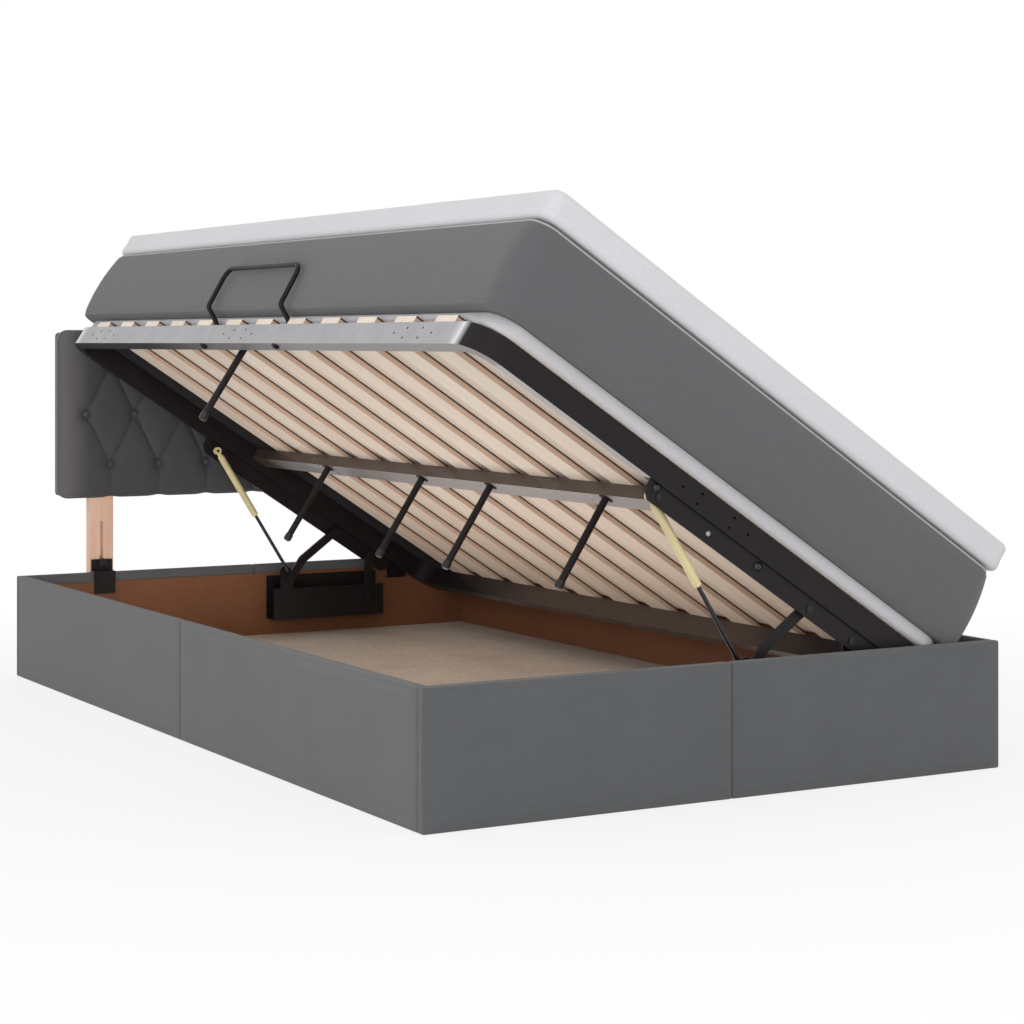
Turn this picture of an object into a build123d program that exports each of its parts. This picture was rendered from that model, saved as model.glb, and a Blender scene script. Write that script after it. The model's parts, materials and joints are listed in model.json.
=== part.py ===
from build123d import *
import math
import os

# Ottoman storage bed, millimetres, +Z up.
# The origin is on the floor under the centre of the storage box.
# +X is the hinge side, -X the side that opens, +Y the head end.
# The platform is drawn flat, in its own frame, and tilted to the open pose.

# Storage box
BOX_W = 1200.0
BOX_L = 2030.0
BOX_H = 234.0
PANEL_T = 18.0
PANEL_ROUND = 3.0
PANEL_EASE = 2.0
SEAM = 0.8
FIT_GAP = 0.5
CUT_OVER = 1.0
LINING_T = 3.0
LINING_TOP = 212.0
FLOOR_TOP = 60.0
FLOOR_T = 5.0
FLOOR_GAP = 1.0
BATTEN_W = 44.0
BATTEN_X = 380.0
CORNER_LEG = 30.0
CORNER_T = 2.5
CORNER_H = 26.0
CORNER_TOP = 208.0

# Headboard
HEAD_W = 1000.0
HEAD_BOTTOM = 411.0
HEAD_TOP = 811.0
HEAD_FRONT = BOX_L / 2 - 15.0
CUSHION_T = 36.0
BACKING_T = 13.0
BACKING_INSET = 6.0
CUSHION_ROUND = 15.0
CUSHION_EDGE = 14.0
TUFT_DX = 123.0
TUFT_DZ = 120.0
TUFT_COUNT = 8
TUFT_DIMPLE = 17.0
TUFT_FLOOR_R = 8.0
TUFT_DEPTH = 13.0
CREASE_W = 14.0
CREASE_RISE = 4.5
BUTTON_R = 7.0
BUTTON_ROUND = 2.0
BUTTON_T = 5.0
HEAD_LEG_X = 390.0
HEAD_LEG_W = 60.0
HEAD_LEG_T = 24.0
HEAD_LEG_ROUND = 2.0
HEAD_LEG_FRONT = HEAD_FRONT + 16.0
HEAD_LEG_BOTTOM = 80.0
HEAD_LEG_TOP = 640.0
HEAD_SLOT_W = 9.0
HEAD_SLOT_LOW = 180.0
HEAD_SLOT_HIGH = 355.0
POCKET_GAP = 0.2
CLAMP_W = 52.0
CLAMP_T = 3.0
CLAMP_LOW = 184.0
CLAMP_HIGH = 264.0
CLAMP_BOLT_Z = 257.0
BOLT_R = 4.0
BOLT_HEAD_R = 9.0
BOLT_HEAD_T = 5.0
WASHER_R = 12.0

# Platform, in its flat frame: x is minus the distance up the slope
TILT = 33.1
FRAME_CY = -10.0
FRAME_HALF = BOX_L / 2 - 42.0
FRAME_FRONT = -BOX_W / 2 - 240.0
FRAME_BACK = BOX_W / 2 - 300.0
RAIL_W = 25.0
RAIL_LOW = 384.0
RAIL_HIGH = 428.0
RAIL_WALL = 2.0
BEND_R = 65.0
HOLE_R = 2.5
HOLE_RISE = 10.0
HOLE_NEAR = 28.0
HOLE_FAR = 69.0
HOLE_GROUP_Y = (-755.0, -8.0, 755.0)
END_HOLE_X = -278.0
END_HOLE_NEAR = 40.0
END_HOLE_FAR = 81.0
BEAM_X = -279.0
BEAM_W = 44.0
BEAM_LOW = 402.0
SLAT_COUNT = 12
SLAT_MID_Y = -28.0
SLAT_END_GAP = 54.0
SLAT_PITCH = 2 * (FRAME_HALF - RAIL_W - SLAT_END_GAP) / SLAT_COUNT
SLAT_W = 72.0
SLAT_T = 13.0
SLAT_FRONT = FRAME_FRONT + 0.5
SLAT_MID_GAP = 4.0
SLAT_BACK = FRAME_BACK - 4.0
SLAT_ROUND = 2.0
LEG_R = 7.0
LEG_LOW = 212.0
LEG_X = BEAM_X - 12.0
LEG_Y = (-652.0, -222.0, 70.0, 527.0)
LEG_FLANGE_W = 20.0
LEG_FLANGE_T = 3.0
FRONT_LEG_X = FRAME_FRONT + 45.0
FRONT_LEG_Y = 36.0
FRONT_LEG_LOW = 234.0
FRONT_LEG_TOP = 420.0
TAB_T = 4.0
TAB_W = 26.0
TAB_LOW = 394.0
CAP_R = 8.5
CAP_H = 16.0
CAP_EASE = 3.0
CAP_FOOT = 3.0

# Mattress and topper, in the flat frame
BED_FRONT = FRAME_FRONT - 10.0
BED_BACK = FRAME_BACK - 7.0
BED_FOOT = 15.0 - BOX_L / 2
BED_HEAD = BOX_L / 2 - 49.0
BAND_FRONT = FRAME_FRONT + 14.0
BAND_INSET = 8.0
BAND_TOP = 458.0
BAND_CORNER = 56.0
BED_TOP = 631.0
BED_CORNER_LOW = 34.0
BED_CORNER_TOP = 42.0
BED_BULGE = 8.0
MATTRESS_SIDE_SHARES = ((0, -0.5), (0.08, 0.1), (0.25, 0.75), (0.5, 1), (0.75, 0.75), (0.92, 0.1), (1, -0.5))
TOPPER_FRONT = BED_FRONT
TOPPER_BACK = BED_BACK + 17.0
TOPPER_FOOT = BED_FOOT - 4.0
TOPPER_HEAD = BED_HEAD + 2.0
TOPPER_TOP = 686.0
TOPPER_CORNER = 24.0
TOPPER_EDGE = 12.0
PIPING_R = 3.5

# Handle, in the flat frame
HANDLE_Y = (-205.0, 149.0)
HANDLE_R = 5.0
HANDLE_X = FRAME_FRONT + 8.0
HANDLE_LOW = 377.5
HANDLE_TURN = 436.0
HANDLE_KNEE = (FRAME_FRONT - 28.0, 455.0)
HANDLE_TOP = (FRAME_FRONT - 33.0, 545.0)
HANDLE_BEND = 12.0
HANDLE_TOP_BEND = 26.0
HANDLE_HOLE = 5.2
NUT_R = 9.0
NUT_T = 4.0
NUT_SIDES = 6

# Lift mechanism: distances from the platform's middle plane
TOP_PLATE_OUT = FRAME_HALF - 5.0
TOP_PLATE_IN = FRAME_HALF - 9.0
FLANGE_OUT = FRAME_HALF - 12.0
FLANGE_IN = FRAME_HALF - 16.0
LINK_OUT = FRAME_HALF - 17.0
LINK_IN = FRAME_HALF - 23.0
STRUT_Y = FRAME_HALF - 32.0
EYE_HALF = 4.0
PIN_FACE = FRAME_HALF - 24.5
PIN_HEAD_T = 1.5
PIN_LIP = 2.0
OPEN_GAP = 0.4

# Lift mechanism pivots: box pivots as x, z; platform pivots in the flat frame
G1 = (70.0, 196.0)
G2 = (284.0, 149.0)
STRUT_FOOT = (60.0, 222.0)
P1 = (-8.0, 366.0)
P2 = (105.0, 365.0)
STRUT_HEAD = (-390.0, 366.0)
PIN_R = 5.0
PIN_GAP = 0.1
LINK_HALF = 10.0
LINK_BEND = (104.0, 246.0)
TOP_PLATE_X = (-420.0, 173.0)
TOP_PLATE_LOW = 350.0
TOP_PLATE_CHAMFER = 14.0
STRUT_STUD_R = 3.5
CYL_R = 8.0
CYL_START = 14.0
CYL_END = 188.0
CYL_NECK = 5.0
CYL_WALL = 1.5
CYL_EASE = 2.0
ROD_R = 4.0
ROD_HOLE = 4.1
ROD_TOP = 19.0
PISTON_T = 4.0
STUD_LENGTH = 4.0
STUD_CENTRE = 6.0
ROD_END_R = 8.0
ROD_END_L = 15.0
ROD_NECK = 5.5
ROD_LAP = 1.0
EYE_R = 9.0
PLATE_X = (30.0, 330.0)
CHANNEL_LOW = 100.0
CHANNEL_T = 4.0
PLATE_TOP = 205.0
FLANGE_LOW_TOP = 176.0
FLANGE_NOSE_R = 12.0
SCREW_R = 6.0
SCREW_T = 2.5
SCREW_INSET = 24.0

INNER_X = BOX_W / 2 - PANEL_T
INNER_Y = BOX_L / 2 - PANEL_T
LINED_X = INNER_X - LINING_T
LINED_Y = INNER_Y - LINING_T
RAIL_MID = (RAIL_LOW + RAIL_HIGH) / 2


def save(shape, name):
    export_step(shape, "parts/" + name + ".step")


def block(x0, x1, y0, y1, z0, z1):
    size = Box(abs(x1 - x0), abs(y1 - y0), abs(z1 - z0))
    return Pos((x0 + x1) / 2, (y0 + y1) / 2, (z0 + z1) / 2) * size


def rod_y(x, z, y0, y1, radius):
    body = Cylinder(radius, abs(y1 - y0))
    return Pos(x, (y0 + y1) / 2, z) * Rot(90, 0, 0) * body


def up_rod(x, y, z0, z1, radius):
    return Pos(x, y, (z0 + z1) / 2) * Cylinder(radius, z1 - z0)


def plan(x0, x1, y0, y1, z, corner):
    face = RectangleRounded(x1 - x0, y1 - y0, corner)
    return Pos((x0 + x1) / 2, (y0 + y1) / 2, z) * face


def spread(count, pitch):
    return [(i - (count - 1) / 2) * pitch for i in range(count)]


def tilted(shape):
    return Rot(0, TILT, 0) * shape


def open_point(point):
    angle = math.radians(TILT)
    x, z = point
    return (
        x * math.cos(angle) + z * math.sin(angle),
        z * math.cos(angle) - x * math.sin(angle),
    )


def end_plane(side, distance):
    # side is -1 at the foot end and +1 at the head end
    return FRAME_CY + side * distance


# Box panels: each side of the box is two upholstered boards that meet in the middle
def panel(x0, x1, y0, y1):
    body = block(x0, x1, y0, y1, 0, BOX_H)
    body = fillet(body.edges().filter_by(Axis.Z), PANEL_ROUND)
    return chamfer(body.faces().sort_by(Axis.Z)[-1].edges(), PANEL_EASE)


def make_panels():
    half_x = BOX_W / 2
    half_y = BOX_L / 2
    for side, x0, x1 in (("left", -half_x, -INNER_X), ("right", INNER_X, half_x)):
        save(panel(x0, x1, -INNER_Y, -SEAM / 2), "side_panel_" + side + "_foot")
        save(panel(x0, x1, SEAM / 2, INNER_Y), "side_panel_" + side + "_head")
    for end, y0, y1 in (("foot", -half_y, -INNER_Y), ("head", INNER_Y, half_y)):
        save(panel(-half_x, -SEAM / 2, y0, y1), end + "_panel_left")
        save(panel(SEAM / 2, half_x, y0, y1), end + "_panel_right")


def make_linings():
    low = FLOOR_TOP
    left = block(-INNER_X, -LINED_X, -INNER_Y, INNER_Y, low, LINING_TOP)
    save(left, "lining_left")
    right = block(LINED_X, INNER_X, -INNER_Y, INNER_Y, low, LINING_TOP)
    save(right, "lining_right")
    foot = block(-LINED_X, LINED_X, -INNER_Y, -LINED_Y, low, LINING_TOP)
    save(foot, "lining_foot")
    head = block(-LINED_X, LINED_X, LINED_Y, INNER_Y, low, LINING_TOP)
    save(head, "lining_head")


def corner_bracket(sx, sy):
    x_face = sx * LINED_X
    y_face = sy * LINED_Y
    low = CORNER_TOP - CORNER_H
    along_x = block(x_face, x_face - sx * CORNER_LEG, y_face, y_face - sy * CORNER_T, low, CORNER_TOP)
    along_y = block(x_face, x_face - sx * CORNER_T, y_face, y_face - sy * CORNER_LEG, low, CORNER_TOP)
    return along_x + along_y


def make_corner_brackets():
    pieces = [corner_bracket(sx, sy) for sx in (-1, 1) for sy in (-1, 1)]
    save(Compound(children=pieces), "corner_brackets")


def make_floor():
    low = FLOOR_TOP - FLOOR_T
    edge_x = INNER_X - FIT_GAP
    edge_y = INNER_Y - FIT_GAP
    save(block(-edge_x, edge_x, -edge_y, -FLOOR_GAP / 2, low, FLOOR_TOP), "floor_board_foot")
    save(block(-edge_x, edge_x, FLOOR_GAP / 2, edge_y, low, FLOOR_TOP), "floor_board_head")
    for name, x in (("left", -BATTEN_X), ("middle", 0), ("right", BATTEN_X)):
        batten = block(x - BATTEN_W / 2, x + BATTEN_W / 2, -edge_y, edge_y, 0, low)
        save(batten, "floor_batten_" + name)


# Headboard
def tuft_points():
    middle = (HEAD_BOTTOM + HEAD_TOP) / 2
    points = []
    for x in spread(TUFT_COUNT, TUFT_DX):
        points.append((x, middle, 0))
    for x in spread(TUFT_COUNT - 1, TUFT_DX):
        points.append((x, middle + TUFT_DZ, 1))
        points.append((x, middle - TUFT_DZ, -1))
    return points


def crease(x0, z0, x1, z1):
    length = math.hypot(x1 - x0, z1 - z0)
    turn = math.degrees(math.atan2(x1 - x0, z1 - z0))
    groove = Rot(0, turn, 0) * Rot(0, 0, 45) * Box(CREASE_W, CREASE_W, length)
    return Pos((x0 + x1) / 2, HEAD_FRONT - CREASE_RISE, (z0 + z1) / 2) * groove


def creases():
    rows = tuft_points()
    middle = [p for p in rows if p[2] == 0]
    outer = [p for p in rows if p[2] != 0]
    cuts = []
    for x0, z0, _ in middle:
        for x1, z1, _ in outer:
            if abs(x1 - x0) < TUFT_DX:
                cuts.append(crease(x0, z0, x1, z1))
    for x0, z0, row in outer:
        edge = HEAD_TOP if row > 0 else HEAD_BOTTOM
        cuts.append(crease(x0, z0, x0, edge))
    return cuts


def leg_box(side, gap):
    x = side * HEAD_LEG_X
    half = HEAD_LEG_W / 2 + gap
    back = HEAD_LEG_FRONT + HEAD_LEG_T + gap
    top = HEAD_LEG_TOP + gap
    return block(x - half, x + half, HEAD_LEG_FRONT - gap, back, HEAD_LEG_BOTTOM, top)


def make_cushion():
    half = HEAD_W / 2
    body = block(-half, half, HEAD_FRONT, HEAD_FRONT + CUSHION_T, HEAD_BOTTOM, HEAD_TOP)
    body = fillet(body.edges().filter_by(Axis.Y), CUSHION_ROUND)
    body = fillet(body.faces().sort_by(Axis.Y)[0].edges(), CUSHION_EDGE)
    for x, z, _ in tuft_points():
        dimple = Cone(TUFT_DIMPLE, TUFT_FLOOR_R, TUFT_DEPTH)
        body -= Pos(x, HEAD_FRONT + TUFT_DEPTH / 2 - FIT_GAP, z) * Rot(-90, 0, 0) * dimple
    for cut in creases():
        body -= cut
    for side in (-1, 1):
        body -= leg_box(side, POCKET_GAP)
    save(body, "headboard_cushion")


def make_backing():
    half = HEAD_W / 2 - BACKING_INSET
    y0 = HEAD_FRONT + CUSHION_T
    low = HEAD_BOTTOM + BACKING_INSET
    high = HEAD_TOP - BACKING_INSET
    body = block(-half, half, y0, y0 + BACKING_T, low, high)
    body = fillet(body.edges().filter_by(Axis.Y), CUSHION_ROUND - BACKING_INSET)
    for side in (-1, 1):
        body -= leg_box(side, POCKET_GAP)
    save(body, "headboard_backing")


def make_buttons():
    pieces = []
    for x, z, _ in tuft_points():
        y = HEAD_FRONT + TUFT_DEPTH - FIT_GAP
        button = rod_y(x, z, y - BUTTON_T, y, BUTTON_R)
        pieces.append(chamfer(button.edges().sort_by(Axis.Y)[0], BUTTON_ROUND))
    save(Compound(children=pieces), "headboard_buttons")


def make_headboard_legs():
    for name, side in (("left", -1), ("right", 1)):
        body = leg_box(side, 0)
        body = fillet(body.edges().filter_by(Axis.Z), HEAD_LEG_ROUND)
        x = side * HEAD_LEG_X
        y0 = HEAD_LEG_FRONT - CUT_OVER
        y1 = HEAD_LEG_FRONT + HEAD_LEG_T + CUT_OVER
        half = HEAD_SLOT_W / 2
        body -= block(x - half, x + half, y0, y1, HEAD_SLOT_LOW + half, HEAD_SLOT_HIGH - half)
        body -= rod_y(x, HEAD_SLOT_LOW + half, y0, y1, half)
        body -= rod_y(x, HEAD_SLOT_HIGH - half, y0, y1, half)
        save(body, "headboard_leg_" + name)


def clamp(side):
    x0 = side * HEAD_LEG_X - CLAMP_W / 2
    x1 = x0 + CLAMP_W
    inner = LINED_Y
    front = HEAD_LEG_FRONT - POCKET_GAP
    lower = block(x0, x1, inner - CLAMP_T, inner, CLAMP_LOW, BOX_H + CLAMP_T)
    over = block(x0, x1, inner - CLAMP_T, front, BOX_H, BOX_H + CLAMP_T)
    upper = block(x0, x1, front - CLAMP_T, front, BOX_H, CLAMP_HIGH)
    body = lower + over + upper
    back = front + CUT_OVER
    return body - rod_y(side * HEAD_LEG_X, CLAMP_BOLT_Z, front - CLAMP_T - CUT_OVER, back, BOLT_R)


def clamp_bolt(side):
    x = side * HEAD_LEG_X
    front = HEAD_LEG_FRONT - POCKET_GAP - CLAMP_T
    back = HEAD_LEG_FRONT + HEAD_LEG_T + POCKET_GAP
    shank = rod_y(x, CLAMP_BOLT_Z, front, back, BOLT_R)
    head = rod_y(x, CLAMP_BOLT_Z, front - BOLT_HEAD_T, front, BOLT_HEAD_R)
    nut = rod_y(x, CLAMP_BOLT_Z, back, back + BOLT_HEAD_T, WASHER_R)
    return shank + head + nut


def make_clamps():
    for name, side in (("left", -1), ("right", 1)):
        save(clamp(side), "headboard_clamp_" + name)
    bolts = [clamp_bolt(side) for side in (-1, 1)]
    save(Compound(children=bolts), "headboard_bolts")


# Platform frame: rectangular steel tube with round corner bends
def corner_ring(x, y, sx, sy, inset):
    outer = Circle(BEND_R - inset)
    inner = Circle(BEND_R - RAIL_W + inset)
    quarter = Pos(sx * BEND_R, sy * BEND_R) * Rectangle(2 * BEND_R, 2 * BEND_R)
    return Pos(x, y) * ((outer - inner) & quarter)


def bent_rail_face(x_out, sx, inset):
    # sx is the side the rail is on, -1 for the front rail
    x_in = x_out - sx * RAIL_W
    bend_x = x_out - sx * BEND_R
    reach = FRAME_HALF - BEND_R
    width = abs(x_out - x_in) - 2 * inset
    face = Pos((x_out + x_in) / 2, FRAME_CY) * Rectangle(width, 2 * reach)
    for sy in (-1, 1):
        face += corner_ring(bend_x, FRAME_CY + sy * reach, sx, sy, inset)
    return face


def tube(face, hollow):
    body = Pos(0, 0, RAIL_LOW) * extrude(face, RAIL_HIGH - RAIL_LOW)
    height = RAIL_HIGH - RAIL_LOW - 2 * RAIL_WALL
    return body - Pos(0, 0, RAIL_LOW + RAIL_WALL) * extrude(hollow, height)


def tube_block(x0, x1, y0, y1, low, along_x):
    # the hollow runs out of both ends of the tube
    wx = -CUT_OVER if along_x else RAIL_WALL
    wy = RAIL_WALL if along_x else -CUT_OVER
    body = block(x0, x1, y0, y1, low, RAIL_HIGH)
    hollow = block(x0 + wx, x1 - wx, y0 + wy, y1 - wy, low + RAIL_WALL, RAIL_HIGH - RAIL_WALL)
    return body - hollow


def hole_group(near, far):
    # a flat hexagon: two holes in line, and two pairs above and below it
    points = [(-far, 0), (far, 0)]
    for along in (-near, near):
        points += [(along, -HOLE_RISE), (along, HOLE_RISE)]
    return points


def make_rails():
    front = tube(bent_rail_face(FRAME_FRONT, -1, 0), bent_rail_face(FRAME_FRONT, -1, RAIL_WALL))
    for y in HANDLE_Y:
        front -= up_rod(HANDLE_X, y, RAIL_LOW - CUT_OVER, RAIL_HIGH + CUT_OVER, HANDLE_HOLE)
    for y in HOLE_GROUP_Y:
        for along, rise in hole_group(HOLE_NEAR, HOLE_FAR):
            hole = Rot(0, 90, 0) * Cylinder(HOLE_R, 2 * RAIL_WALL)
            front -= Pos(FRAME_FRONT + RAIL_WALL / 2, y + along, RAIL_MID + rise) * hole
    save(tilted(front), "front_rail")
    hinge = tube(bent_rail_face(FRAME_BACK, 1, 0), bent_rail_face(FRAME_BACK, 1, RAIL_WALL))
    save(tilted(hinge), "hinge_rail")
    x0 = FRAME_FRONT + BEND_R
    x1 = FRAME_BACK - BEND_R
    for name, side in (("foot_rail", -1), ("head_rail", 1)):
        y_out = end_plane(side, FRAME_HALF)
        y_in = end_plane(side, FRAME_HALF - RAIL_W)
        rail = tube_block(x0, x1, min(y_out, y_in), max(y_out, y_in), RAIL_LOW, True)
        for along, rise in hole_group(END_HOLE_NEAR, END_HOLE_FAR):
            x = END_HOLE_X + along
            rail -= rod_y(x, RAIL_MID + rise, y_out - RAIL_WALL, y_out + RAIL_WALL, HOLE_R)
        save(tilted(rail), name)


def make_beam():
    y0 = end_plane(-1, FRAME_HALF - RAIL_W)
    y1 = end_plane(1, FRAME_HALF - RAIL_W)
    beam = tube_block(BEAM_X - BEAM_W / 2, BEAM_X + BEAM_W / 2, y0, y1, BEAM_LOW, False)
    save(tilted(beam), "centre_beam")


def slat(x0, x1, y):
    body = block(x0, x1, y - SLAT_W / 2, y + SLAT_W / 2, RAIL_HIGH, RAIL_HIGH + SLAT_T)
    lower = [e for e in body.edges().filter_by(Axis.X) if e.center().Z < RAIL_HIGH + SLAT_T / 2]
    return fillet(lower, SLAT_ROUND)


def make_slats():
    front = []
    rear = []
    for offset in spread(SLAT_COUNT, SLAT_PITCH):
        y = SLAT_MID_Y + offset
        front.append(tilted(slat(SLAT_FRONT, BEAM_X - SLAT_MID_GAP / 2, y)))
        rear.append(tilted(slat(BEAM_X + SLAT_MID_GAP / 2, SLAT_BACK, y)))
    save(Compound(children=front), "front_slats")
    save(Compound(children=rear), "rear_slats")


def leg_cap(x, y, leg_low):
    low = leg_low - CAP_FOOT
    cup = up_rod(x, y, low, low + CAP_H, CAP_R)
    cup = chamfer(cup.edges().sort_by(Axis.Z)[0], CAP_EASE)
    return cup - up_rod(x, y, leg_low, leg_low + CAP_H, LEG_R)


def make_legs():
    legs = []
    caps = []
    for y in LEG_Y:
        shaft = up_rod(LEG_X, y, LEG_LOW, BEAM_LOW, LEG_R)
        half = LEG_FLANGE_W / 2
        flange = block(LEG_X - half, LEG_X + half, y - half, y + half, BEAM_LOW - LEG_FLANGE_T, BEAM_LOW)
        legs.append(tilted(shaft + flange))
        caps.append(tilted(leg_cap(LEG_X, y, LEG_LOW)))
    shaft = up_rod(FRONT_LEG_X, FRONT_LEG_Y, FRONT_LEG_LOW, FRONT_LEG_TOP, LEG_R)
    face = FRAME_FRONT + RAIL_W
    half = TAB_W / 2
    y = FRONT_LEG_Y
    tab = block(face, FRONT_LEG_X, y - half, y + half, TAB_LOW, FRONT_LEG_TOP)
    legs.append(tilted(shaft + tab))
    caps.append(tilted(leg_cap(FRONT_LEG_X, y, FRONT_LEG_LOW)))
    save(Compound(children=legs), "support_legs")
    save(Compound(children=caps), "leg_caps")


# Mattress, band, piping and topper
def make_piping():
    z = BED_TOP - 2 * PIPING_R
    # its inner half is sewn into the mattress edge, which is cut to it
    sunk = BED_BULGE
    rim = PIPING_R
    inner = plan(BED_FRONT + sunk, BED_BACK - sunk, BED_FOOT + sunk, BED_HEAD - sunk, z, BED_CORNER_TOP - sunk)
    outer = plan(BED_FRONT - rim, BED_BACK + rim, BED_FOOT - rim, BED_HEAD + rim, z, BED_CORNER_TOP + rim)
    ring = extrude(outer, 2 * PIPING_R) - extrude(inner, 2 * PIPING_R)
    return ring


def make_mattress():
    band = plan(BAND_FRONT, BED_BACK - BAND_INSET, BED_FOOT + BAND_INSET, BED_HEAD - BAND_INSET,
                RAIL_HIGH + SLAT_T, BAND_CORNER)
    band = extrude(band, BAND_TOP - RAIL_HIGH - SLAT_T)
    save(tilted(band), "mattress_base")
    height = BED_TOP - BAND_TOP
    sections = []
    for share, bulge_share in MATTRESS_SIDE_SHARES:
        z = BAND_TOP + share * height
        grow = bulge_share * BED_BULGE
        corner = BED_CORNER_LOW + share * (BED_CORNER_TOP - BED_CORNER_LOW) + grow
        sections.append(plan(BED_FRONT - grow, BED_BACK + grow, BED_FOOT - grow, BED_HEAD + grow, z, corner))
    piping = make_piping()
    save(tilted(loft(sections, ruled=True) - piping), "mattress")
    save(tilted(piping), "mattress_piping")


def make_topper():
    shape = plan(TOPPER_FRONT, TOPPER_BACK, TOPPER_FOOT, TOPPER_HEAD, BED_TOP, TOPPER_CORNER)
    body = extrude(shape, TOPPER_TOP - BED_TOP)
    rims = body.edges().group_by(Axis.Z)
    body = fillet(rims[-1] + rims[0], TOPPER_EDGE)
    save(tilted(body), "topper")


# Handle
def make_handle():
    y0, y1 = HANDLE_Y
    points = [
        (HANDLE_X, y0, HANDLE_LOW),
        (HANDLE_X, y0, HANDLE_TURN),
        (HANDLE_KNEE[0], y0, HANDLE_KNEE[1]),
        (HANDLE_TOP[0], y0, HANDLE_TOP[1]),
        (HANDLE_TOP[0], y1, HANDLE_TOP[1]),
        (HANDLE_KNEE[0], y1, HANDLE_KNEE[1]),
        (HANDLE_X, y1, HANDLE_TURN),
        (HANDLE_X, y1, HANDLE_LOW),
    ]
    foot_bends = [HANDLE_BEND, HANDLE_BEND]
    bends = foot_bends + [HANDLE_TOP_BEND, HANDLE_TOP_BEND] + foot_bends
    path = rounded_path(points, bends)
    start = Plane(origin=points[0], z_dir=(0, 0, 1))
    body = sweep(start * Circle(HANDLE_R), path=path)
    save(tilted(body), "handle")
    nuts = []
    for y in HANDLE_Y:
        nut = Pos(HANDLE_X, y, RAIL_LOW - NUT_T) * extrude(RegularPolygon(NUT_R, NUT_SIDES), NUT_T)
        bore = up_rod(HANDLE_X, y, RAIL_LOW - NUT_T, RAIL_LOW, HANDLE_R)
        nuts.append(tilted(nut - bore))
    save(Compound(children=nuts), "handle_nuts")


def rounded_path(points, bends):
    edges = []
    last = Vector(*points[0])
    for i, bend in enumerate(bends, start=1):
        corner = Vector(*points[i])
        back = (Vector(*points[i - 1]) - corner).normalized()
        ahead = (Vector(*points[i + 1]) - corner).normalized()
        half = math.acos(max(-1, min(1, back.dot(ahead)))) / 2
        reach = bend / math.tan(half)
        start = corner + back * reach
        stop = corner + ahead * reach
        middle = corner + (back + ahead).normalized() * (bend / math.sin(half) - bend)
        edges.append(Line(last, start))
        edges.append(ThreePointArc(start, middle, stop))
        last = stop
    edges.append(Line(last, Vector(*points[-1])))
    return Wire(edges)


# Lift mechanism
def bar(points, y0, y1):
    # a flat bar with round ends through the x, z points
    body = None
    for x, z in points:
        disc = rod_y(x, z, y0, y1, LINK_HALF)
        body = disc if body is None else body + disc
    for (xa, za), (xb, zb) in zip(points[:-1], points[1:]):
        length = math.hypot(xb - xa, zb - za)
        turn = math.degrees(math.atan2(xb - xa, zb - za))
        web = Rot(0, turn, 0) * Box(2 * LINK_HALF, abs(y1 - y0), length)
        body += Pos((xa + xb) / 2, (y0 + y1) / 2, (za + zb) / 2) * web
    return body


def bored(body, point, y0, y1):
    low = min(y0, y1) - CUT_OVER
    high = max(y0, y1) + CUT_OVER
    return body - rod_y(point[0], point[1], low, high, PIN_R + PIN_GAP)


def make_links():
    for name, side in (("foot", -1), ("head", 1)):
        y0 = end_plane(side, LINK_IN)
        y1 = end_plane(side, LINK_OUT)
        front = bar([G1, LINK_BEND, open_point(P1)], y0, y1)
        front = bored(bored(front, G1, y0, y1), open_point(P1), y0, y1)
        save(front, "front_link_" + name)
        rear = bar([G2, open_point(P2)], y0, y1)
        rear = bored(rear, G2, y0, y1)
        save(rear, "rear_link_" + name)


def make_top_plates():
    x0, x1 = TOP_PLATE_X
    for name, side in (("foot", -1), ("head", 1)):
        y0 = end_plane(side, TOP_PLATE_IN)
        y1 = end_plane(side, TOP_PLATE_OUT)
        plate = block(x0, x1, y0, y1, TOP_PLATE_LOW, RAIL_LOW)
        lower = [e for e in plate.edges().filter_by(Axis.Y) if e.center().Z < RAIL_LOW - CUT_OVER]
        plate = chamfer(lower, TOP_PLATE_CHAMFER)
        save(tilted(plate), "top_plate_" + name)


def top_pin(point, side, radius, reach):
    y0 = end_plane(side, reach)
    y1 = end_plane(side, TOP_PLATE_IN)
    y2 = end_plane(side, TOP_PLATE_OUT)
    y3 = end_plane(side, TOP_PLATE_OUT + PIN_HEAD_T)
    shank = rod_y(point[0], point[1], y0, y1, radius)
    head = rod_y(point[0], point[1], y2, y3, radius + PIN_LIP)
    return [tilted(shank), tilted(head)]


def make_top_pins():
    pieces = []
    for side in (-1, 1):
        pieces += top_pin(P1, side, PIN_R, PIN_FACE)
        pieces += top_pin(P2, side, PIN_R, LINK_OUT + OPEN_GAP)
        pieces += top_pin(STRUT_HEAD, side, STRUT_STUD_R, STRUT_Y - EYE_HALF - CUT_OVER)
    save(Compound(children=pieces), "top_pins")


def channel(side, panel_face):
    # side view of the inner flange: low run with a raised nose at the strut's foot
    x0, x1 = PLATE_X
    inner = end_plane(side, FLANGE_IN)
    outer = end_plane(side, FLANGE_OUT)
    wall = panel_face - side * CHANNEL_T
    flange = block(x0, x1, inner, outer, CHANNEL_LOW, FLANGE_LOW_TOP)
    nose_top = STRUT_FOOT[1]
    nose = block(STRUT_FOOT[0] - FLANGE_NOSE_R, G1[0] + FLANGE_NOSE_R, inner, outer, CHANNEL_LOW, nose_top)
    nose += rod_y(STRUT_FOOT[0], STRUT_FOOT[1], inner, outer, FLANGE_NOSE_R)
    web = block(x0, x1, inner, panel_face, CHANNEL_LOW, CHANNEL_LOW + CHANNEL_T)
    plate = block(x0, x1, wall, panel_face, CHANNEL_LOW, PLATE_TOP)
    return flange + nose + web + plate


def make_channels():
    for name, side in (("foot", -1), ("head", 1)):
        save(channel(side, side * LINED_Y), "base_bracket_" + name)


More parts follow.
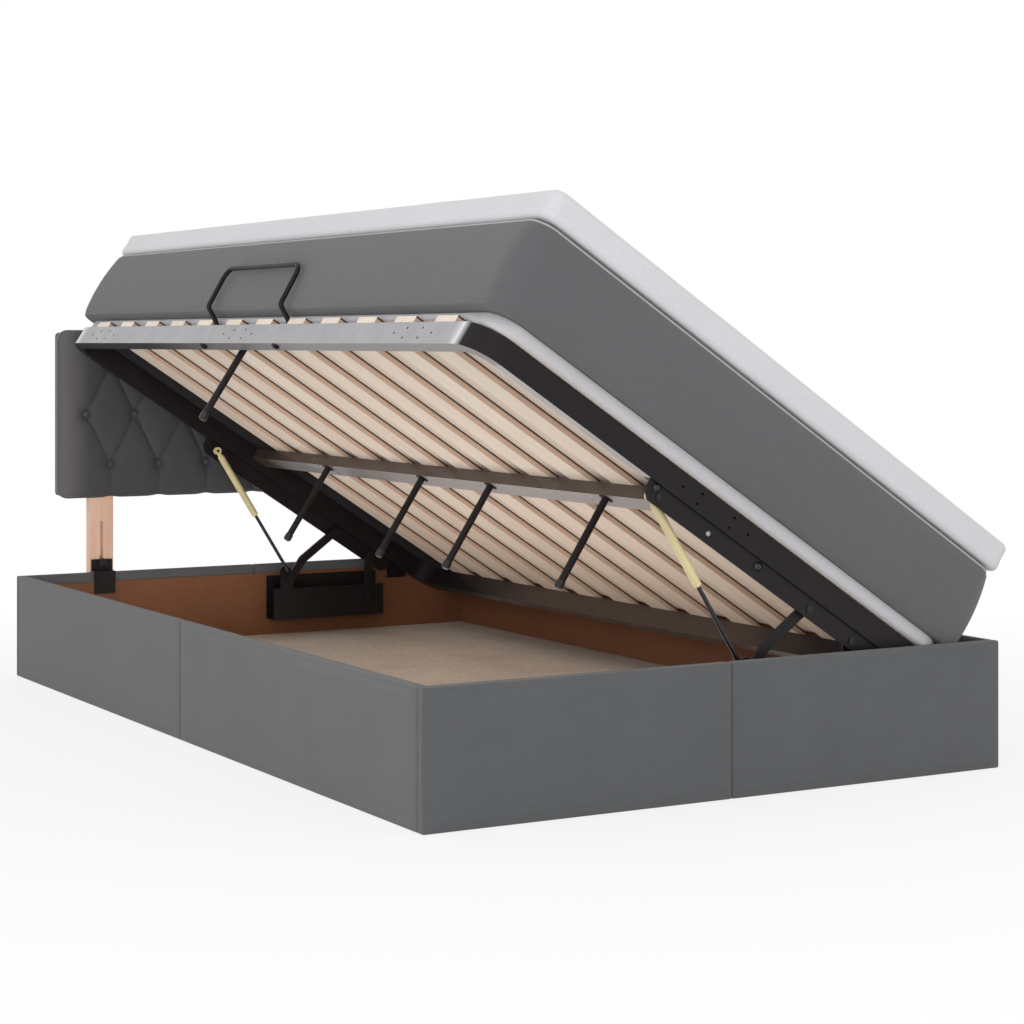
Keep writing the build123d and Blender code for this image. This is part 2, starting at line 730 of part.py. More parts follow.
def base_pin(point, side, radius):
    y0 = end_plane(side, PIN_FACE)
    y1 = end_plane(side, FLANGE_IN)
    return rod_y(point[0], point[1], y0, y1, radius)


def make_base_pins():
    pieces = []
    for side in (-1, 1):
        pieces.append(base_pin(G1, side, PIN_R))
        pieces.append(base_pin(G2, side, PIN_R))
        y0 = end_plane(side, LINK_IN)
        y1 = end_plane(side, FLANGE_IN)
        pieces.append(rod_y(STRUT_FOOT[0], STRUT_FOOT[1], y0, y1, STRUT_STUD_R))
        wall = side * LINED_Y - side * CHANNEL_T
        for x in (PLATE_X[0] + SCREW_INSET, PLATE_X[1] - SCREW_INSET):
            z = PLATE_TOP - SCREW_INSET
            pieces.append(rod_y(x, z, wall, wall - side * SCREW_T, SCREW_R))
    save(Compound(children=pieces), "base_pins")


# Gas struts: drawn along +Z from the upper eye, then laid between the two pivots
def strut_place(side):
    top = open_point(STRUT_HEAD)
    dx = STRUT_FOOT[0] - top[0]
    dz = STRUT_FOOT[1] - top[1]
    turn = math.degrees(math.atan2(dx, dz))
    y = end_plane(side, STRUT_Y)
    return Pos(top[0], y, top[1]) * Rot(0, turn, 0)


def strut_length():
    top = open_point(STRUT_HEAD)
    return math.hypot(STRUT_FOOT[0] - top[0], STRUT_FOOT[1] - top[1])


def eye(z, radius, hole):
    body = Pos(0, 0, z) * Rot(90, 0, 0) * Cylinder(radius, 2 * EYE_HALF)
    if hole:
        body -= Pos(0, 0, z) * Rot(90, 0, 0) * Cylinder(hole, 4 * EYE_HALF)
    return body


def make_struts():
    length = strut_length()
    hole = STRUT_STUD_R + PIN_GAP
    for name, side in (("foot", -1), ("head", 1)):
        place = strut_place(side)
        ring = eye(0, EYE_R, hole)
        neck = up_rod(0, 0, EYE_R - CUT_OVER, CYL_START, CYL_NECK)
        barrel = up_rod(0, 0, CYL_START, CYL_END, CYL_R)
        rims = [barrel.edges().sort_by(Axis.Z)[0], barrel.edges().sort_by(Axis.Z)[-1]]
        barrel = chamfer(rims, CYL_EASE)
        body = ring + neck + barrel
        body -= up_rod(0, 0, CYL_START + CYL_WALL, CYL_END - 2 * CYL_WALL, CYL_R - CYL_WALL)
        body -= up_rod(0, 0, CYL_END - 3 * CYL_WALL, CYL_END + CUT_OVER, ROD_HOLE)
        save(place * body, "strut_cylinder_" + name)
        rod_top = CYL_END - ROD_TOP
        rod = up_rod(0, 0, rod_top, length - ROD_END_L, ROD_R)
        piston = up_rod(0, 0, rod_top - PISTON_T, rod_top, CYL_R - CYL_WALL - PIN_GAP)
        socket = up_rod(0, 0, length - ROD_END_L - ROD_LAP, length, ROD_NECK)
        stud = Rot(90, 0, 0) * Cylinder(STRUT_STUD_R, STUD_LENGTH)
        stud = Pos(0, side * STUD_CENTRE, length) * stud
        lower = rod + piston + socket + eye(length, ROD_END_R, 0) + stud
        save(place * lower, "strut_rod_" + name)


os.makedirs("parts", exist_ok=True)
make_panels()
make_linings()
make_corner_brackets()
make_floor()
make_cushion()
make_backing()
make_buttons()
make_headboard_legs()
make_clamps()
make_rails()
make_beam()
make_slats()
make_legs()
make_mattress()
make_topper()
make_handle()
make_links()
make_top_plates()
make_top_pins()
make_channels()
make_base_pins()
make_struts()
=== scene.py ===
import bpy
import json
import math
from mathutils import Matrix, Vector, noise


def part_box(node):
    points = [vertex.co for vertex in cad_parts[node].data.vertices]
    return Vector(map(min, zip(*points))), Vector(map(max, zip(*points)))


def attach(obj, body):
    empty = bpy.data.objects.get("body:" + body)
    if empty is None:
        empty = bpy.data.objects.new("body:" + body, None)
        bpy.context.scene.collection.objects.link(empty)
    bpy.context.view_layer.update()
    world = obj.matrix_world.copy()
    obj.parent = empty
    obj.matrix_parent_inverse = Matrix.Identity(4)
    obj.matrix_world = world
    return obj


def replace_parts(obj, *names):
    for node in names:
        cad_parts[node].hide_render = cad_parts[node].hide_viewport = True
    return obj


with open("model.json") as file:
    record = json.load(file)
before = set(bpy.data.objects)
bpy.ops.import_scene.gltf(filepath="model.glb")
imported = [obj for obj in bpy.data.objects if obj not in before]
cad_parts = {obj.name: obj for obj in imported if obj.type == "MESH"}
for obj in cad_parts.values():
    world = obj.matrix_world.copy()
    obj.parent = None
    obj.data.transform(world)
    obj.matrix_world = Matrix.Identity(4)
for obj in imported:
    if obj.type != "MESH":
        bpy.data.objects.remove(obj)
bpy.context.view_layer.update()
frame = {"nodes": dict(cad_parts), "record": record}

# Sizes in metres, in the frame of the CAD model: +Y is the head end, -X the side that opens.
TILT = math.radians(33.1)
TO_OPEN = Matrix.Rotation(TILT, 4, "Y")

# Covers of the storage box
COVER_EDGE = 0.0035
COVER_GRID = 0.022
COVER_CROWN = 0.0012
COVER_RIPPLE = 0.0005
HEM_R = 0.0011
HEM_SHORT = 0.006
HEM_DROP = 0.0006
HEM_OUT = 0.0025

# Soft layers, in the platform's flat frame before the tilt. The LOOSE values are how much further
# a cover reaches on the hinge side than its CAD solid.
BED_FRONT = -0.850
BED_BACK = 0.293
BED_LOOSE = 0.023
BED_FOOT = -1.000
BED_HEAD = 0.966
BED_CORNER_LOW = 0.034
BED_CORNER_TOP = 0.042
BED_BOTTOM = 0.458
BED_TOP = 0.631
BED_EDGE_LOW = 0.003
BED_EDGE_TOP = 0.010
BED_SEAM_INSET = 0.006
BED_BULGE = 0.008
BED_PULL = 0.002
TOPPER_FRONT = -0.850
TOPPER_BACK = 0.310
TOPPER_LOOSE = 0.010
TOPPER_FOOT = -1.004
TOPPER_HEAD = 0.968
TOPPER_TOP = 0.686
TOPPER_CORNER = 0.024
TOPPER_EDGE = 0.011
TOPPER_CROWN = 0.003
BAND_FRONT = -0.826
BAND_LOOSE = 0.008
BAND_INSET = 0.008
BAND_BOTTOM = 0.441
BAND_CORNER = 0.056
BAND_EDGE = 0.007
BAND_SAG = 0.0115
SOFT_RIPPLE = 0.0012
PIPING_R = 0.00238
PIPING_DROP = 0.0085
PIPING_INSET = 0.0030

# Frame of the platform, in the same flat frame
PLATFORM_MIDDLE = -0.010
PLATE_FACE = 0.968
SLAT_MIDDLE = -0.028
SLAT_PITCH = 0.149
SLAT_LOW = 0.428
LAST_SLAT = 0.856
RAIL_BEND_START = 0.908
RAIL_LOW = 0.384
RAIL_TOP = 0.428
RAIL_FRONT = -0.840
RAIL_WIDE = 0.025
HINGE_INNER = 0.2745
BEAM_LOW = 0.402

# Headboard: depths go back from its front face; each pair is a depth and the reach over which it fades
HEAD_FRONT = 1.000
HEAD_BACK = 1.036
HEAD_HALF = 0.500
HEAD_BOTTOM = 0.411
HEAD_TOP = 0.811
HEAD_MIDDLE = (HEAD_BOTTOM + HEAD_TOP) / 2
HEAD_EDGE = 0.014
HEAD_CORNER = 0.026
TUFT_DX = 0.123
TUFT_DZ = 0.120
TUFT_COUNT = 8
TUFT = (0.0155, 0.0145)
SHARP_FOLD = (0.0062, 0.0034)
SOFT_FOLD = (0.0034, 0.020)
PUCKER = (0.0008, 0.05)
SIDE_ROLL = (0.015, 0.085)
END_ROLL = (0.006, 0.05)
NOTCH = (0.0032, 0.016)
NOTCH_HEIGHT = 0.03
FACE_DEEPEST = 0.0148
BUTTON_R = 0.0080
BUTTON_DEPTH = 0.0135

# Steps round the plan of a soft layer: along its short sides, its long sides and each corner. The rings
# over its flat faces go in as far as CAP_END, and one face closes them there.
PLAN_STEPS = (44, 76, 8)
CAP_END = 0.55
BAND_CAP_END = 0.54

# Colours that lie over a material's own colour in one place; the pale board tint and the hinge brown are
# the things' own colours, the rest are painted light or shade
PAINTED_EDGE_LIGHT = (0.150, 0.142, 0.152)
HEAD_END_SHADE = (0.012, 0.011, 0.011)
PALE_BOARD = (0.93, 0.86, 0.70)
HINGE_BROWN = (0.080, 0.058, 0.048)
TUBE_INSIDE_SHADE = (0.006, 0.005, 0.006)

# Camera, solved from the photograph
CAMERA_AT = (-2.3316, -4.2731, 0.7837)
CAMERA_YAW = 0.5134
CAMERA_LENS = 81.79
CAMERA_SHIFT = (0.0306, -0.1665)


# Mesh helpers
def new_piece(name, points, faces, body, slot, material=None):
    """A smooth mesh that rides on a body, in the material of its slot unless another is given."""
    mesh = bpy.data.meshes.new(name)
    mesh.from_pydata([tuple(p) for p in points], [], faces)
    mesh.validate()
    mesh.update()
    for polygon in mesh.polygons:
        polygon.use_smooth = True
    piece = bpy.data.objects.new(name, mesh)
    bpy.context.scene.collection.objects.link(piece)
    mesh.materials.append(material or materials[slot])
    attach(piece, body)
    return piece


def rounded_outline(x0, x1, y0, y1, corner, steps_x, steps_y, steps_corner):
    """Points round a rectangle with round corners, the same number for every size."""
    corners = [
        (x1 - corner, y0 + corner, -90, steps_y),
        (x1 - corner, y1 - corner, 0, steps_x),
        (x0 + corner, y1 - corner, 90, steps_y),
        (x0 + corner, y0 + corner, 180, steps_x),
    ]
    points = []
    for i, (cx, cy, start, steps) in enumerate(corners):
        for k in range(steps_corner + 1):
            angle = math.radians(start + 90 * k / steps_corner)
            points.append((cx + corner * math.cos(angle), cy + corner * math.sin(angle)))
        nx, ny, next_start, _ = corners[(i + 1) % 4]
        turn = math.radians(next_start)
        last = points[-1]
        ahead = (nx + corner * math.cos(turn), ny + corner * math.sin(turn))
        for k in range(1, steps):
            share = k / steps
            x = last[0] + share * (ahead[0] - last[0])
            y = last[1] + share * (ahead[1] - last[1])
            points.append((x, y))
    return points


def join_rings(rings):
    """Faces between rings of equal length, closed at both ends."""
    count = len(rings[0])
    points = [p for ring in rings for p in ring]
    faces = []
    for i in range(len(rings) - 1):
        for k in range(count):
            a = i * count + k
            b = i * count + (k + 1) % count
            faces.append((a, b, b + count, a + count))
    faces.append(tuple(range(count - 1, -1, -1)))
    last = (len(rings) - 1) * count
    faces.append(tuple(range(last, last + count)))
    return points, faces


def slab(x0, x1, y0, y1, corner, profile, shape):
    """A slab built of rings, closed at both ends.

    profile holds (inset, z) from the middle of the bottom, round the side, to the middle of the top;
    corner holds the plan radius at the bottom and at the top; shape moves each point to its place."""
    rings = []
    low, high = profile[0][1], profile[-1][1]
    for inset, z in profile:
        plan = corner[0] + (corner[1] - corner[0]) * (z - low) / (high - low)
        radius = max(plan - inset, 0.002)
        sides = (x0 + inset, x1 - inset, y0 + inset, y1 - inset)
        outline = rounded_outline(*sides, radius, *PLAN_STEPS)
        rings.append([Vector((x, y, z)) for x, y in outline])
    points, faces = join_rings(rings)
    return [shape(p) for p in points], faces


def arc_profile(start_angle, stop_angle, centre_inset, centre_z, radius, steps):
    """Part of a round edge as (inset, z) pairs; angle 0 points out of the side and 90 up."""
    pairs = []
    for k in range(steps + 1):
        angle = math.radians(start_angle + (stop_angle - start_angle) * k / steps)
        pairs.append((centre_inset - radius * math.cos(angle), centre_z + radius * math.sin(angle)))
    return pairs


def cap_insets(first, last, steps=9):
    """Insets that spread over a flat top, close together near its edge."""
    return [first + (last - first) * (k / steps) ** 1.6 for k in range(1, steps + 1)]


def rounded_block(lo, hi, radius, step, shape):
    """A closed box with round edges and an even grid on its faces; shape moves each point to its place."""
    size = [hi[i] - lo[i] for i in range(3)]
    spans = []
    for i in range(3):
        inner = size[i] - 2 * radius
        cells = max(1, round(inner / step))
        flat = [lo[i] + radius + inner * k / cells for k in range(cells + 1)]
        low_bend = [lo[i] + radius * (1 - math.cos(math.radians(a))) for a in (0, 30, 60)]
        high_bend = [hi[i] - radius * (1 - math.cos(math.radians(a))) for a in (60, 30, 0)]
        spans.append(low_bend + flat + high_bend)
    index = {}
    points = []
    faces = []

    def corner_of(key):
        if key not in index:
            raw = Vector(tuple(spans[i][key[i]] for i in range(3)))
            inner = Vector(tuple(min(max(raw[i], lo[i] + radius), hi[i] - radius) for i in range(3)))
            out = raw - inner
            place = inner + out.normalized() * radius if out.length > 1e-9 else raw
            index[key] = len(points)
            points.append(place)
        return index[key]

    for axis in range(3):
        u, v = (axis + 1) % 3, (axis + 2) % 3
        for side in (0, len(spans[axis]) - 1):
            for i in range(len(spans[u]) - 1):
                for k in range(len(spans[v]) - 1):
                    keys = []
                    for du, dv in ((0, 0), (1, 0), (1, 1), (0, 1)):
                        key = [0, 0, 0]
                        key[axis], key[u], key[v] = side, i + du, k + dv
                        keys.append(corner_of(tuple(key)))
                    faces.append(tuple(keys if side else reversed(keys)))
    return [shape(p) for p in points], faces


def lathe(profile, steps):
    """A solid of revolution about Z from (radius, z) pairs, closed at both ends."""
    rings = []
    for radius, z in profile:
        ring = []
        for k in range(steps):
            angle = 2 * math.pi * k / steps
            ring.append(Vector((radius * math.cos(angle), radius * math.sin(angle), z)))
        rings.append(ring)
    return join_rings(rings)


def tube_along(points, radius, closed):
    """A round tube through points that lie nearly on a smooth line."""
    steps = 8
    rings = []
    count = len(points)
    for i, point in enumerate(points):
        before = points[(i - 1) % count] if closed or i else point
        after = points[(i + 1) % count] if closed or i < count - 1 else point
        along = (after - before).normalized()
        side = along.cross(Vector((0, 0, 1)))
        side = side.normalized() if side.length > 1e-6 else Vector((1, 0, 0))
        up = side.cross(along)
        ring = []
        for k in range(steps):
            angle = 2 * math.pi * k / steps
            ring.append(point + radius * (math.cos(angle) * side + math.sin(angle) * up))
        rings.append(ring)
    flat = [p for ring in rings for p in ring]
    faces = []
    for i in range(count if closed else count - 1):
        for k in range(steps):
            a, b = i * steps + k, i * steps + (k + 1) % steps
            c, d = ((i + 1) % count) * steps + (k + 1) % steps, ((i + 1) % count) * steps + k
            faces.append((a, d, c, b))
    if not closed:
        faces.append(tuple(range(steps)))
        faces.append(tuple(range(count * steps - 1, (count - 1) * steps - 1, -1)))
    return flat, faces


def merge(parts):
    """Joins several (points, faces) into one."""
    points = []
    faces = []
    for more_points, more_faces in parts:
        start = len(points)
        points += list(more_points)
        faces += [tuple(start + i for i in face) for face in more_faces]
    return points, faces


# Material helpers
def new_material(name, roughness, metallic=0.0):
    """A material with its node tree and its main shader."""
    material = bpy.data.materials.new(name)
    material.use_nodes = True
    tree = material.node_tree
    shader = tree.nodes["Principled BSDF"]
    shader.inputs["Roughness"].default_value = roughness
    shader.inputs["Metallic"].default_value = metallic
    return material, tree, shader


def add_node(tree, kind, values=None, **settings):
    """A node; values go into its sockets, as links where they are another node's output."""
    node = tree.nodes.new(kind)
    for key, value in settings.items():
        setattr(node, key, value)
    for key, value in (values or {}).items():
        if isinstance(value, bpy.types.NodeSocket):
            tree.links.new(value, node.inputs[key])
        else:
            node.inputs[key].default_value = value
    return node


def place_vector(tree, scale=(1, 1, 1), tilted=False):
    """Position on the piece, turned flat for platform pieces."""
    coordinate = add_node(tree, "ShaderNodeTexCoord")
    turn = (0, -TILT, 0) if tilted else (0, 0, 0)
    turned = {"Vector": coordinate.outputs["Object"], "Rotation": turn}
    flat = add_node(tree, "ShaderNodeMapping", turned)
    scaled = {"Vector": flat.outputs["Vector"], "Scale": scale}
    return add_node(tree, "ShaderNodeMapping", scaled).outputs["Vector"]


def noise_at(tree, vector, scale, detail, roughness=0.55):
    values = {"Vector": vector, "Scale": scale, "Detail": detail, "Roughness": roughness}
    return add_node(tree, "ShaderNodeTexNoise", values).outputs["Fac"]


def math_node(tree, operation, first, second=0.0):
    node = add_node(tree, "ShaderNodeMath", {0: first, 1: second}, operation=operation)
    return node.outputs[0]


def remap(tree, value, low, high, to_low, to_high):
    values = {"Value": value, "From Min": low, "From Max": high}
    values.update({"To Min": to_low, "To Max": to_high})
    return add_node(tree, "ShaderNodeMapRange", values).outputs[0]


def blend_colour(tree, share, first, second):
    """first where share is 0, second where it is 1; each a colour or a node's output."""
    node = add_node(tree, "ShaderNodeMix", {"Factor": share}, data_type="RGBA")
    for key, value in ((6, first), (7, second)):
        if isinstance(value, bpy.types.NodeSocket):
            tree.links.new(value, node.inputs[key])
        else:
            node.inputs[key].default_value = (*value, 1)
    return node.outputs[2]


def add_bump(tree, shader, height, distance):
    values = {"Height": height, "Distance": distance, "Strength": 1.0}
    bump = add_node(tree, "ShaderNodeBump", values)
    tree.links.new(bump.outputs["Normal"], shader.inputs["Normal"])


def shade(colour, factor):
    """A colour made darker or lighter."""
    return tuple(min(1.0, c * factor) for c in colour)


def weave_height(tree, vector, pitch):
    """A three-way weave that reads as crossed threads on any flat side."""
    values = {0: vector, "Scale": 2 * math.pi / pitch}
    scaled = add_node(tree, "ShaderNodeVectorMath", values, operation="SCALE")
    axes = add_node(tree, "ShaderNodeSeparateXYZ", {0: scaled.outputs[0]})
    waves = []
    for i in range(3):
        sine = math_node(tree, "SINE", axes.outputs[i])
        cosine = math_node(tree, "COSINE", axes.outputs[(i + 1) % 3])
        waves.append(math_node(tree, "MULTIPLY", sine, cosine))
    total = math_node(tree, "ADD", math_node(tree, "ADD", waves[0], waves[1]), waves[2])
    return remap(tree, total, -1.5, 1.5, 0.0, 1.0)


def fabric(name, colour, pitch=0.0018, mottling=0.10, sheen=0.25, tilted=False):
    """Woven cloth: crossed threads, slubs along the weave, a soft cloudy nap and a little sheen."""
    material, tree, shader = new_material(name, roughness=0.9)
    vector = place_vector(tree, tilted=tilted)
    cloud = noise_at(tree, vector, 5.5, 5.0, 0.6)
    slub = noise_at(tree, place_vector(tree, (30, 30, 260), tilted), 1.0, 2.0)
    threads = weave_height(tree, vector, pitch)
    base = blend_colour(tree, cloud, shade(colour, 1 - mottling), shade(colour, 1 + mottling))
    slub_share = remap(tree, slub, 0.35, 0.7, 0.0, 0.35)
    slubbed = blend_colour(tree, slub_share, base, shade(colour, 1.18))
    gap_share = remap(tree, threads, 0.0, 0.5, 0.3, 0.0)
    threaded = blend_colour(tree, gap_share, slubbed, shade(colour, 0.72))
    tree.links.new(threaded, shader.inputs["Base Color"])
    height = math_node(tree, "ADD", threads, math_node(tree, "MULTIPLY", slub, 0.5))
    add_bump(tree, shader, height, 0.0004)
    shader.inputs["Sheen Weight"].default_value = sheen
    shader.inputs["Sheen Roughness"].default_value = 0.45
    shader.inputs["Specular IOR Level"].default_value = 0.25
    return material


def underside_share(tree, level, reach=0.002):
    """1 on the platform faces that look down within reach of one level of its flat frame."""
    place = add_node(tree, "ShaderNodeSeparateXYZ", {0: place_vector(tree, tilted=True)})
    off = math_node(tree, "ABSOLUTE", math_node(tree, "SUBTRACT", place.outputs[2], level))
    coordinate = add_node(tree, "ShaderNodeTexCoord")
    turned = {"Vector": coordinate.outputs["Normal"], "Rotation": (0, -TILT, 0)}
    normal = add_node(tree, "ShaderNodeMapping", turned)
    facing = add_node(tree, "ShaderNodeSeparateXYZ", {0: normal.outputs["Vector"]})
    down = math_node(tree, "LESS_THAN", facing.outputs[2], -0.9)
    return math_node(tree, "MULTIPLY", down, math_node(tree, "LESS_THAN", off, reach))


def knit(name, colour, base_cloth=None):
    """Soft pale knit with small puffed cells; the face that lies on the slats may be another cloth."""
    material, tree, shader = new_material(name, roughness=0.85)
    vector = place_vector(tree, tilted=True)
    values = {"Vector": vector, "Scale": 160.0}
    cells = add_node(tree, "ShaderNodeTexVoronoi", values, feature="SMOOTH_F1")
    cloud = noise_at(tree, vector, 7.0, 4.0)
    base = blend_colour(tree, cloud, shade(colour, 0.95), shade(colour, 1.04))
    gap_share = remap(tree, cells.outputs["Distance"], 0.3, 0.8, 0.0, 0.16)
    shaded = blend_colour(tree, gap_share, base, shade(colour, 0.8))
    if base_cloth:
        place = add_node(tree, "ShaderNodeSeparateXYZ", {0: vector})
        # painted shade: beyond the last slat at the head end the cloth is painted near black, where the gap
        # lies in deep shade
        shaded_head_end = math_node(tree, "GREATER_THAN", place.outputs[1], SLAT_MIDDLE + LAST_SLAT)
        cloth = blend_colour(tree, shaded_head_end, base_cloth, HEAD_END_SHADE)
        lower = underside_share(tree, BAND_BOTTOM, BAND_SAG + 0.002)
        shaded = blend_colour(tree, lower, shaded, cloth)
    tree.links.new(shaded, shader.inputs["Base Color"])
    inverse = math_node(tree, "SUBTRACT", 1.0, cells.outputs["Distance"])
    threads = weave_height(tree, vector, 0.0012)
    height = math_node(tree, "ADD", inverse, math_node(tree, "MULTIPLY", threads, 0.15))
    add_bump(tree, shader, height, 0.0006)
    shader.inputs["Sheen Weight"].default_value = 0.04 if base_cloth else 0.3
    shader.inputs["Specular IOR Level"].default_value = 0.10 if base_cloth else 0.25
    return material


def velvet(name, colour):
    """Short pile that catches the light at a glancing angle, with brushed patches."""
    material, tree, shader = new_material(name, roughness=0.8)
    vector = place_vector(tree)
    brushed = noise_at(tree, place_vector(tree, (1.0, 1.0, 0.6)), 14.0, 4.0, 0.6)
    pile = noise_at(tree, vector, 900.0, 2.0)
    base = blend_colour(tree, brushed, shade(colour, 0.86), shade(colour, 1.16))
    # painted highlight: the pile is lighter where it rolls over the two side edges, standing in for the
    # light that falls on them
    axes = add_node(tree, "ShaderNodeSeparateXYZ", {0: vector})
    outer = math_node(tree, "ABSOLUTE", axes.outputs[0])
    lit_edge_share = remap(tree, outer, HEAD_HALF - 0.075, HEAD_HALF - 0.020, 0.0, 1.0)
    base = blend_colour(tree, lit_edge_share, base, PAINTED_EDGE_LIGHT)
    pile_share = remap(tree, pile, 0.3, 0.7, 0.0, 0.2)
    speckled = blend_colour(tree, pile_share, base, shade(colour, 1.35))
    tree.links.new(speckled, shader.inputs["Base Color"])
    height = math_node(tree, "ADD", pile, math_node(tree, "MULTIPLY", brushed, 0.6))
    add_bump(tree, shader, height, 0.0003)
    shader.inputs["Sheen Weight"].default_value = 0.35
    shader.inputs["Sheen Roughness"].default_value = 0.35
    shader.inputs["Specular IOR Level"].default_value = 0.3
    return material


def ply_edge(tree, base, fibres, bottom, top, tan, contact_shadow):
    """The long sides of a bent slat show its layers in tan veneers, darker than the bottoms partly as
    painted shade, with a painted contact shadow along the upper edge.
    """
    coordinate = add_node(tree, "ShaderNodeTexCoord")
    side = add_node(tree, "ShaderNodeSeparateXYZ", {0: coordinate.outputs["Normal"]})
    on_side = math_node(tree, "GREATER_THAN", math_node(tree, "ABSOLUTE", side.outputs[1]), 0.7)
    place = add_node(tree, "ShaderNodeSeparateXYZ", {0: place_vector(tree, tilted=True)})
    height = remap(tree, place.outputs[2], bottom, top, 0.0, 1.0)
    layers = math_node(tree, "SINE", math_node(tree, "MULTIPLY", height, 44.0))
    veneer_and_shade = blend_colour(tree, remap(tree, layers, -1, 1, 0.0, 1.0), tan, shade(tan, 0.74))
    veneer_and_shade = blend_colour(tree, remap(tree, fibres, 0.3, 0.7, 0.0, 0.3), veneer_and_shade, shade(tan, 0.6))
    # painted contact shadow: the top of each long side goes dark where the slat meets the band
    edge = remap(tree, height, 0.66, 0.82, 0.0, 1.0)
    veneer_and_shade = blend_colour(tree, edge, veneer_and_shade, contact_shadow)
    return blend_colour(tree, on_side, base, veneer_and_shade)


def board_tones(tree, base, dark, tilted, middle, pitch):
    """Each board in a row gets its own tone and its own tint."""
    axes = add_node(tree, "ShaderNodeSeparateXYZ", {0: place_vector(tree, tilted=tilted)})
    from_middle = math_node(tree, "SUBTRACT", axes.outputs[1], middle)
    board = math_node(tree, "FLOOR", math_node(tree, "DIVIDE", from_middle, pitch))
    tint = math_node(tree, "ADD", board, 17.3)
    for number, most, colour in ((board, 0.34, shade(dark, 0.86)), (tint, 0.4, PALE_BOARD)):
        draw = add_node(tree, "ShaderNodeTexWhiteNoise", {"W": number}, noise_dimensions="1D")
        share = remap(tree, draw.outputs["Value"], 0, 1, 0.0, most)
        base = blend_colour(tree, share, base, colour)
    return base


def wood(name, light, dark, grain, tilted=False, boards=None, roughness=0.55, ply=None):
    """Planed wood: long fibres and growth bands.

    boards holds the middle and the pitch of a row of boards; ply holds what ply_edge takes."""
    material, tree, shader = new_material(name, roughness)
    fibres = noise_at(tree, place_vector(tree, grain, tilted), 1.0, 6.0, 0.65)
    coarse = [scale * 0.22 for scale in grain]
    bands = noise_at(tree, place_vector(tree, coarse, tilted), 1.0, 2.0, 0.5)
    bands_part = math_node(tree, "MULTIPLY", bands, 0.4)
    streaks = math_node(tree, "ADD", math_node(tree, "MULTIPLY", fibres, 0.6), bands_part)
    base = blend_colour(tree, remap(tree, streaks, 0.32, 0.68, 0.0, 1.0), light, dark)
    if boards:
        base = board_tones(tree, base, dark, tilted, *boards)
    if ply:
        base = ply_edge(tree, base, fibres, *ply)
    tree.links.new(base, shader.inputs["Base Color"])
    rough = remap(tree, fibres, 0.2, 0.8, roughness - 0.08, roughness + 0.12)
    tree.links.new(rough, shader.inputs["Roughness"])
    add_bump(tree, shader, fibres, 0.0004)
    return material


def painted_lit_underside(tree, base, marks, level, paler, plate_middle, plate_half):
    """Painted light on the faces that look down at one level: a paler colour for the bright floor they
    mirror, fading towards the head end as painted shade.

    It leaves out the strip of the lift plates: the x of its middle and half its length, or 0 for none."""
    wear_and_painted_light = blend_colour(tree, remap(tree, marks, 0.3, 0.8, 0.0, 1.0), paler, shade(paler, 0.86))
    axes = add_node(tree, "ShaderNodeSeparateXYZ", {0: place_vector(tree, tilted=True)})
    from_plate = math_node(tree, "SUBTRACT", axes.outputs[0], plate_middle)
    clear = math_node(tree, "GREATER_THAN", math_node(tree, "ABSOLUTE", from_plate), plate_half)
    clear = math_node(tree, "MULTIPLY", clear, remap(tree, axes.outputs[1], 0.1, 0.7, 1.0, 0.0))
    share = math_node(tree, "MULTIPLY", underside_share(tree, level), clear)
    base = blend_colour(tree, share, base, wear_and_painted_light)
    # the middle of the rail on the hinge side has a browner coat
    at_hinge = math_node(tree, "GREATER_THAN", axes.outputs[0], HINGE_INNER)
    in_rail = math_node(tree, "GREATER_THAN", axes.outputs[2], RAIL_LOW - 0.002)
    along = remap(tree, math_node(tree, "ABSOLUTE", axes.outputs[1]), 0.4, 0.7, 1.0, 0.0)
    brown = math_node(tree, "MULTIPLY", at_hinge, math_node(tree, "MULTIPLY", in_rail, along))
    return blend_colour(tree, brown, base, HINGE_BROWN)


def powder_coat(name, colour, roughness, grain=700.0, underside=None, shine=0.5):
    """Powder coat on the platform: fine orange peel, faint dust and handling marks.

    underside holds what painted_lit_underside takes."""
    material, tree, shader = new_material(name, roughness)
    vector = place_vector(tree, tilted=True)
    peel = noise_at(tree, vector, grain, 2.0)
    marks = noise_at(tree, vector, 13.0, 3.0, 0.5)
    base = blend_colour(tree, remap(tree, marks, 0.35, 0.8, 0.0, 0.5), colour, shade(colour, 1.5))
    if underside:
        base = painted_lit_underside(tree, base, marks, *underside)
    tree.links.new(base, shader.inputs["Base Color"])
    rough = remap(tree, marks, 0.3, 0.7, roughness - 0.08, roughness + 0.1)
    tree.links.new(rough, shader.inputs["Roughness"])
    shader.inputs["Specular IOR Level"].default_value = shine
    add_bump(tree, shader, peel, 0.00015)
    return material


def off_middle(tree, value, first, last):
    """How far a value lies from the middle between two others."""
    return math_node(tree, "ABSOLUTE", math_node(tree, "SUBTRACT", value, (first + last) / 2))


def inside_rail(tree, axes, away):
    """1 on the inner faces of the rail's tube, which show only through its holes."""
    wall = 0.0004
    off_x = off_middle(tree, axes.outputs[0], RAIL_FRONT, RAIL_FRONT + RAIL_WIDE)
    off_z = off_middle(tree, axes.outputs[2], RAIL_LOW, RAIL_TOP)
    in_x = math_node(tree, "LESS_THAN", off_x, RAIL_WIDE / 2 - wall)
    in_z = math_node(tree, "LESS_THAN", off_z, (RAIL_TOP - RAIL_LOW) / 2 - wall)
    straight = math_node(tree, "LESS_THAN", away, RAIL_BEND_START)
    return math_node(tree, "MULTIPLY", straight, math_node(tree, "MULTIPLY", in_x, in_z))


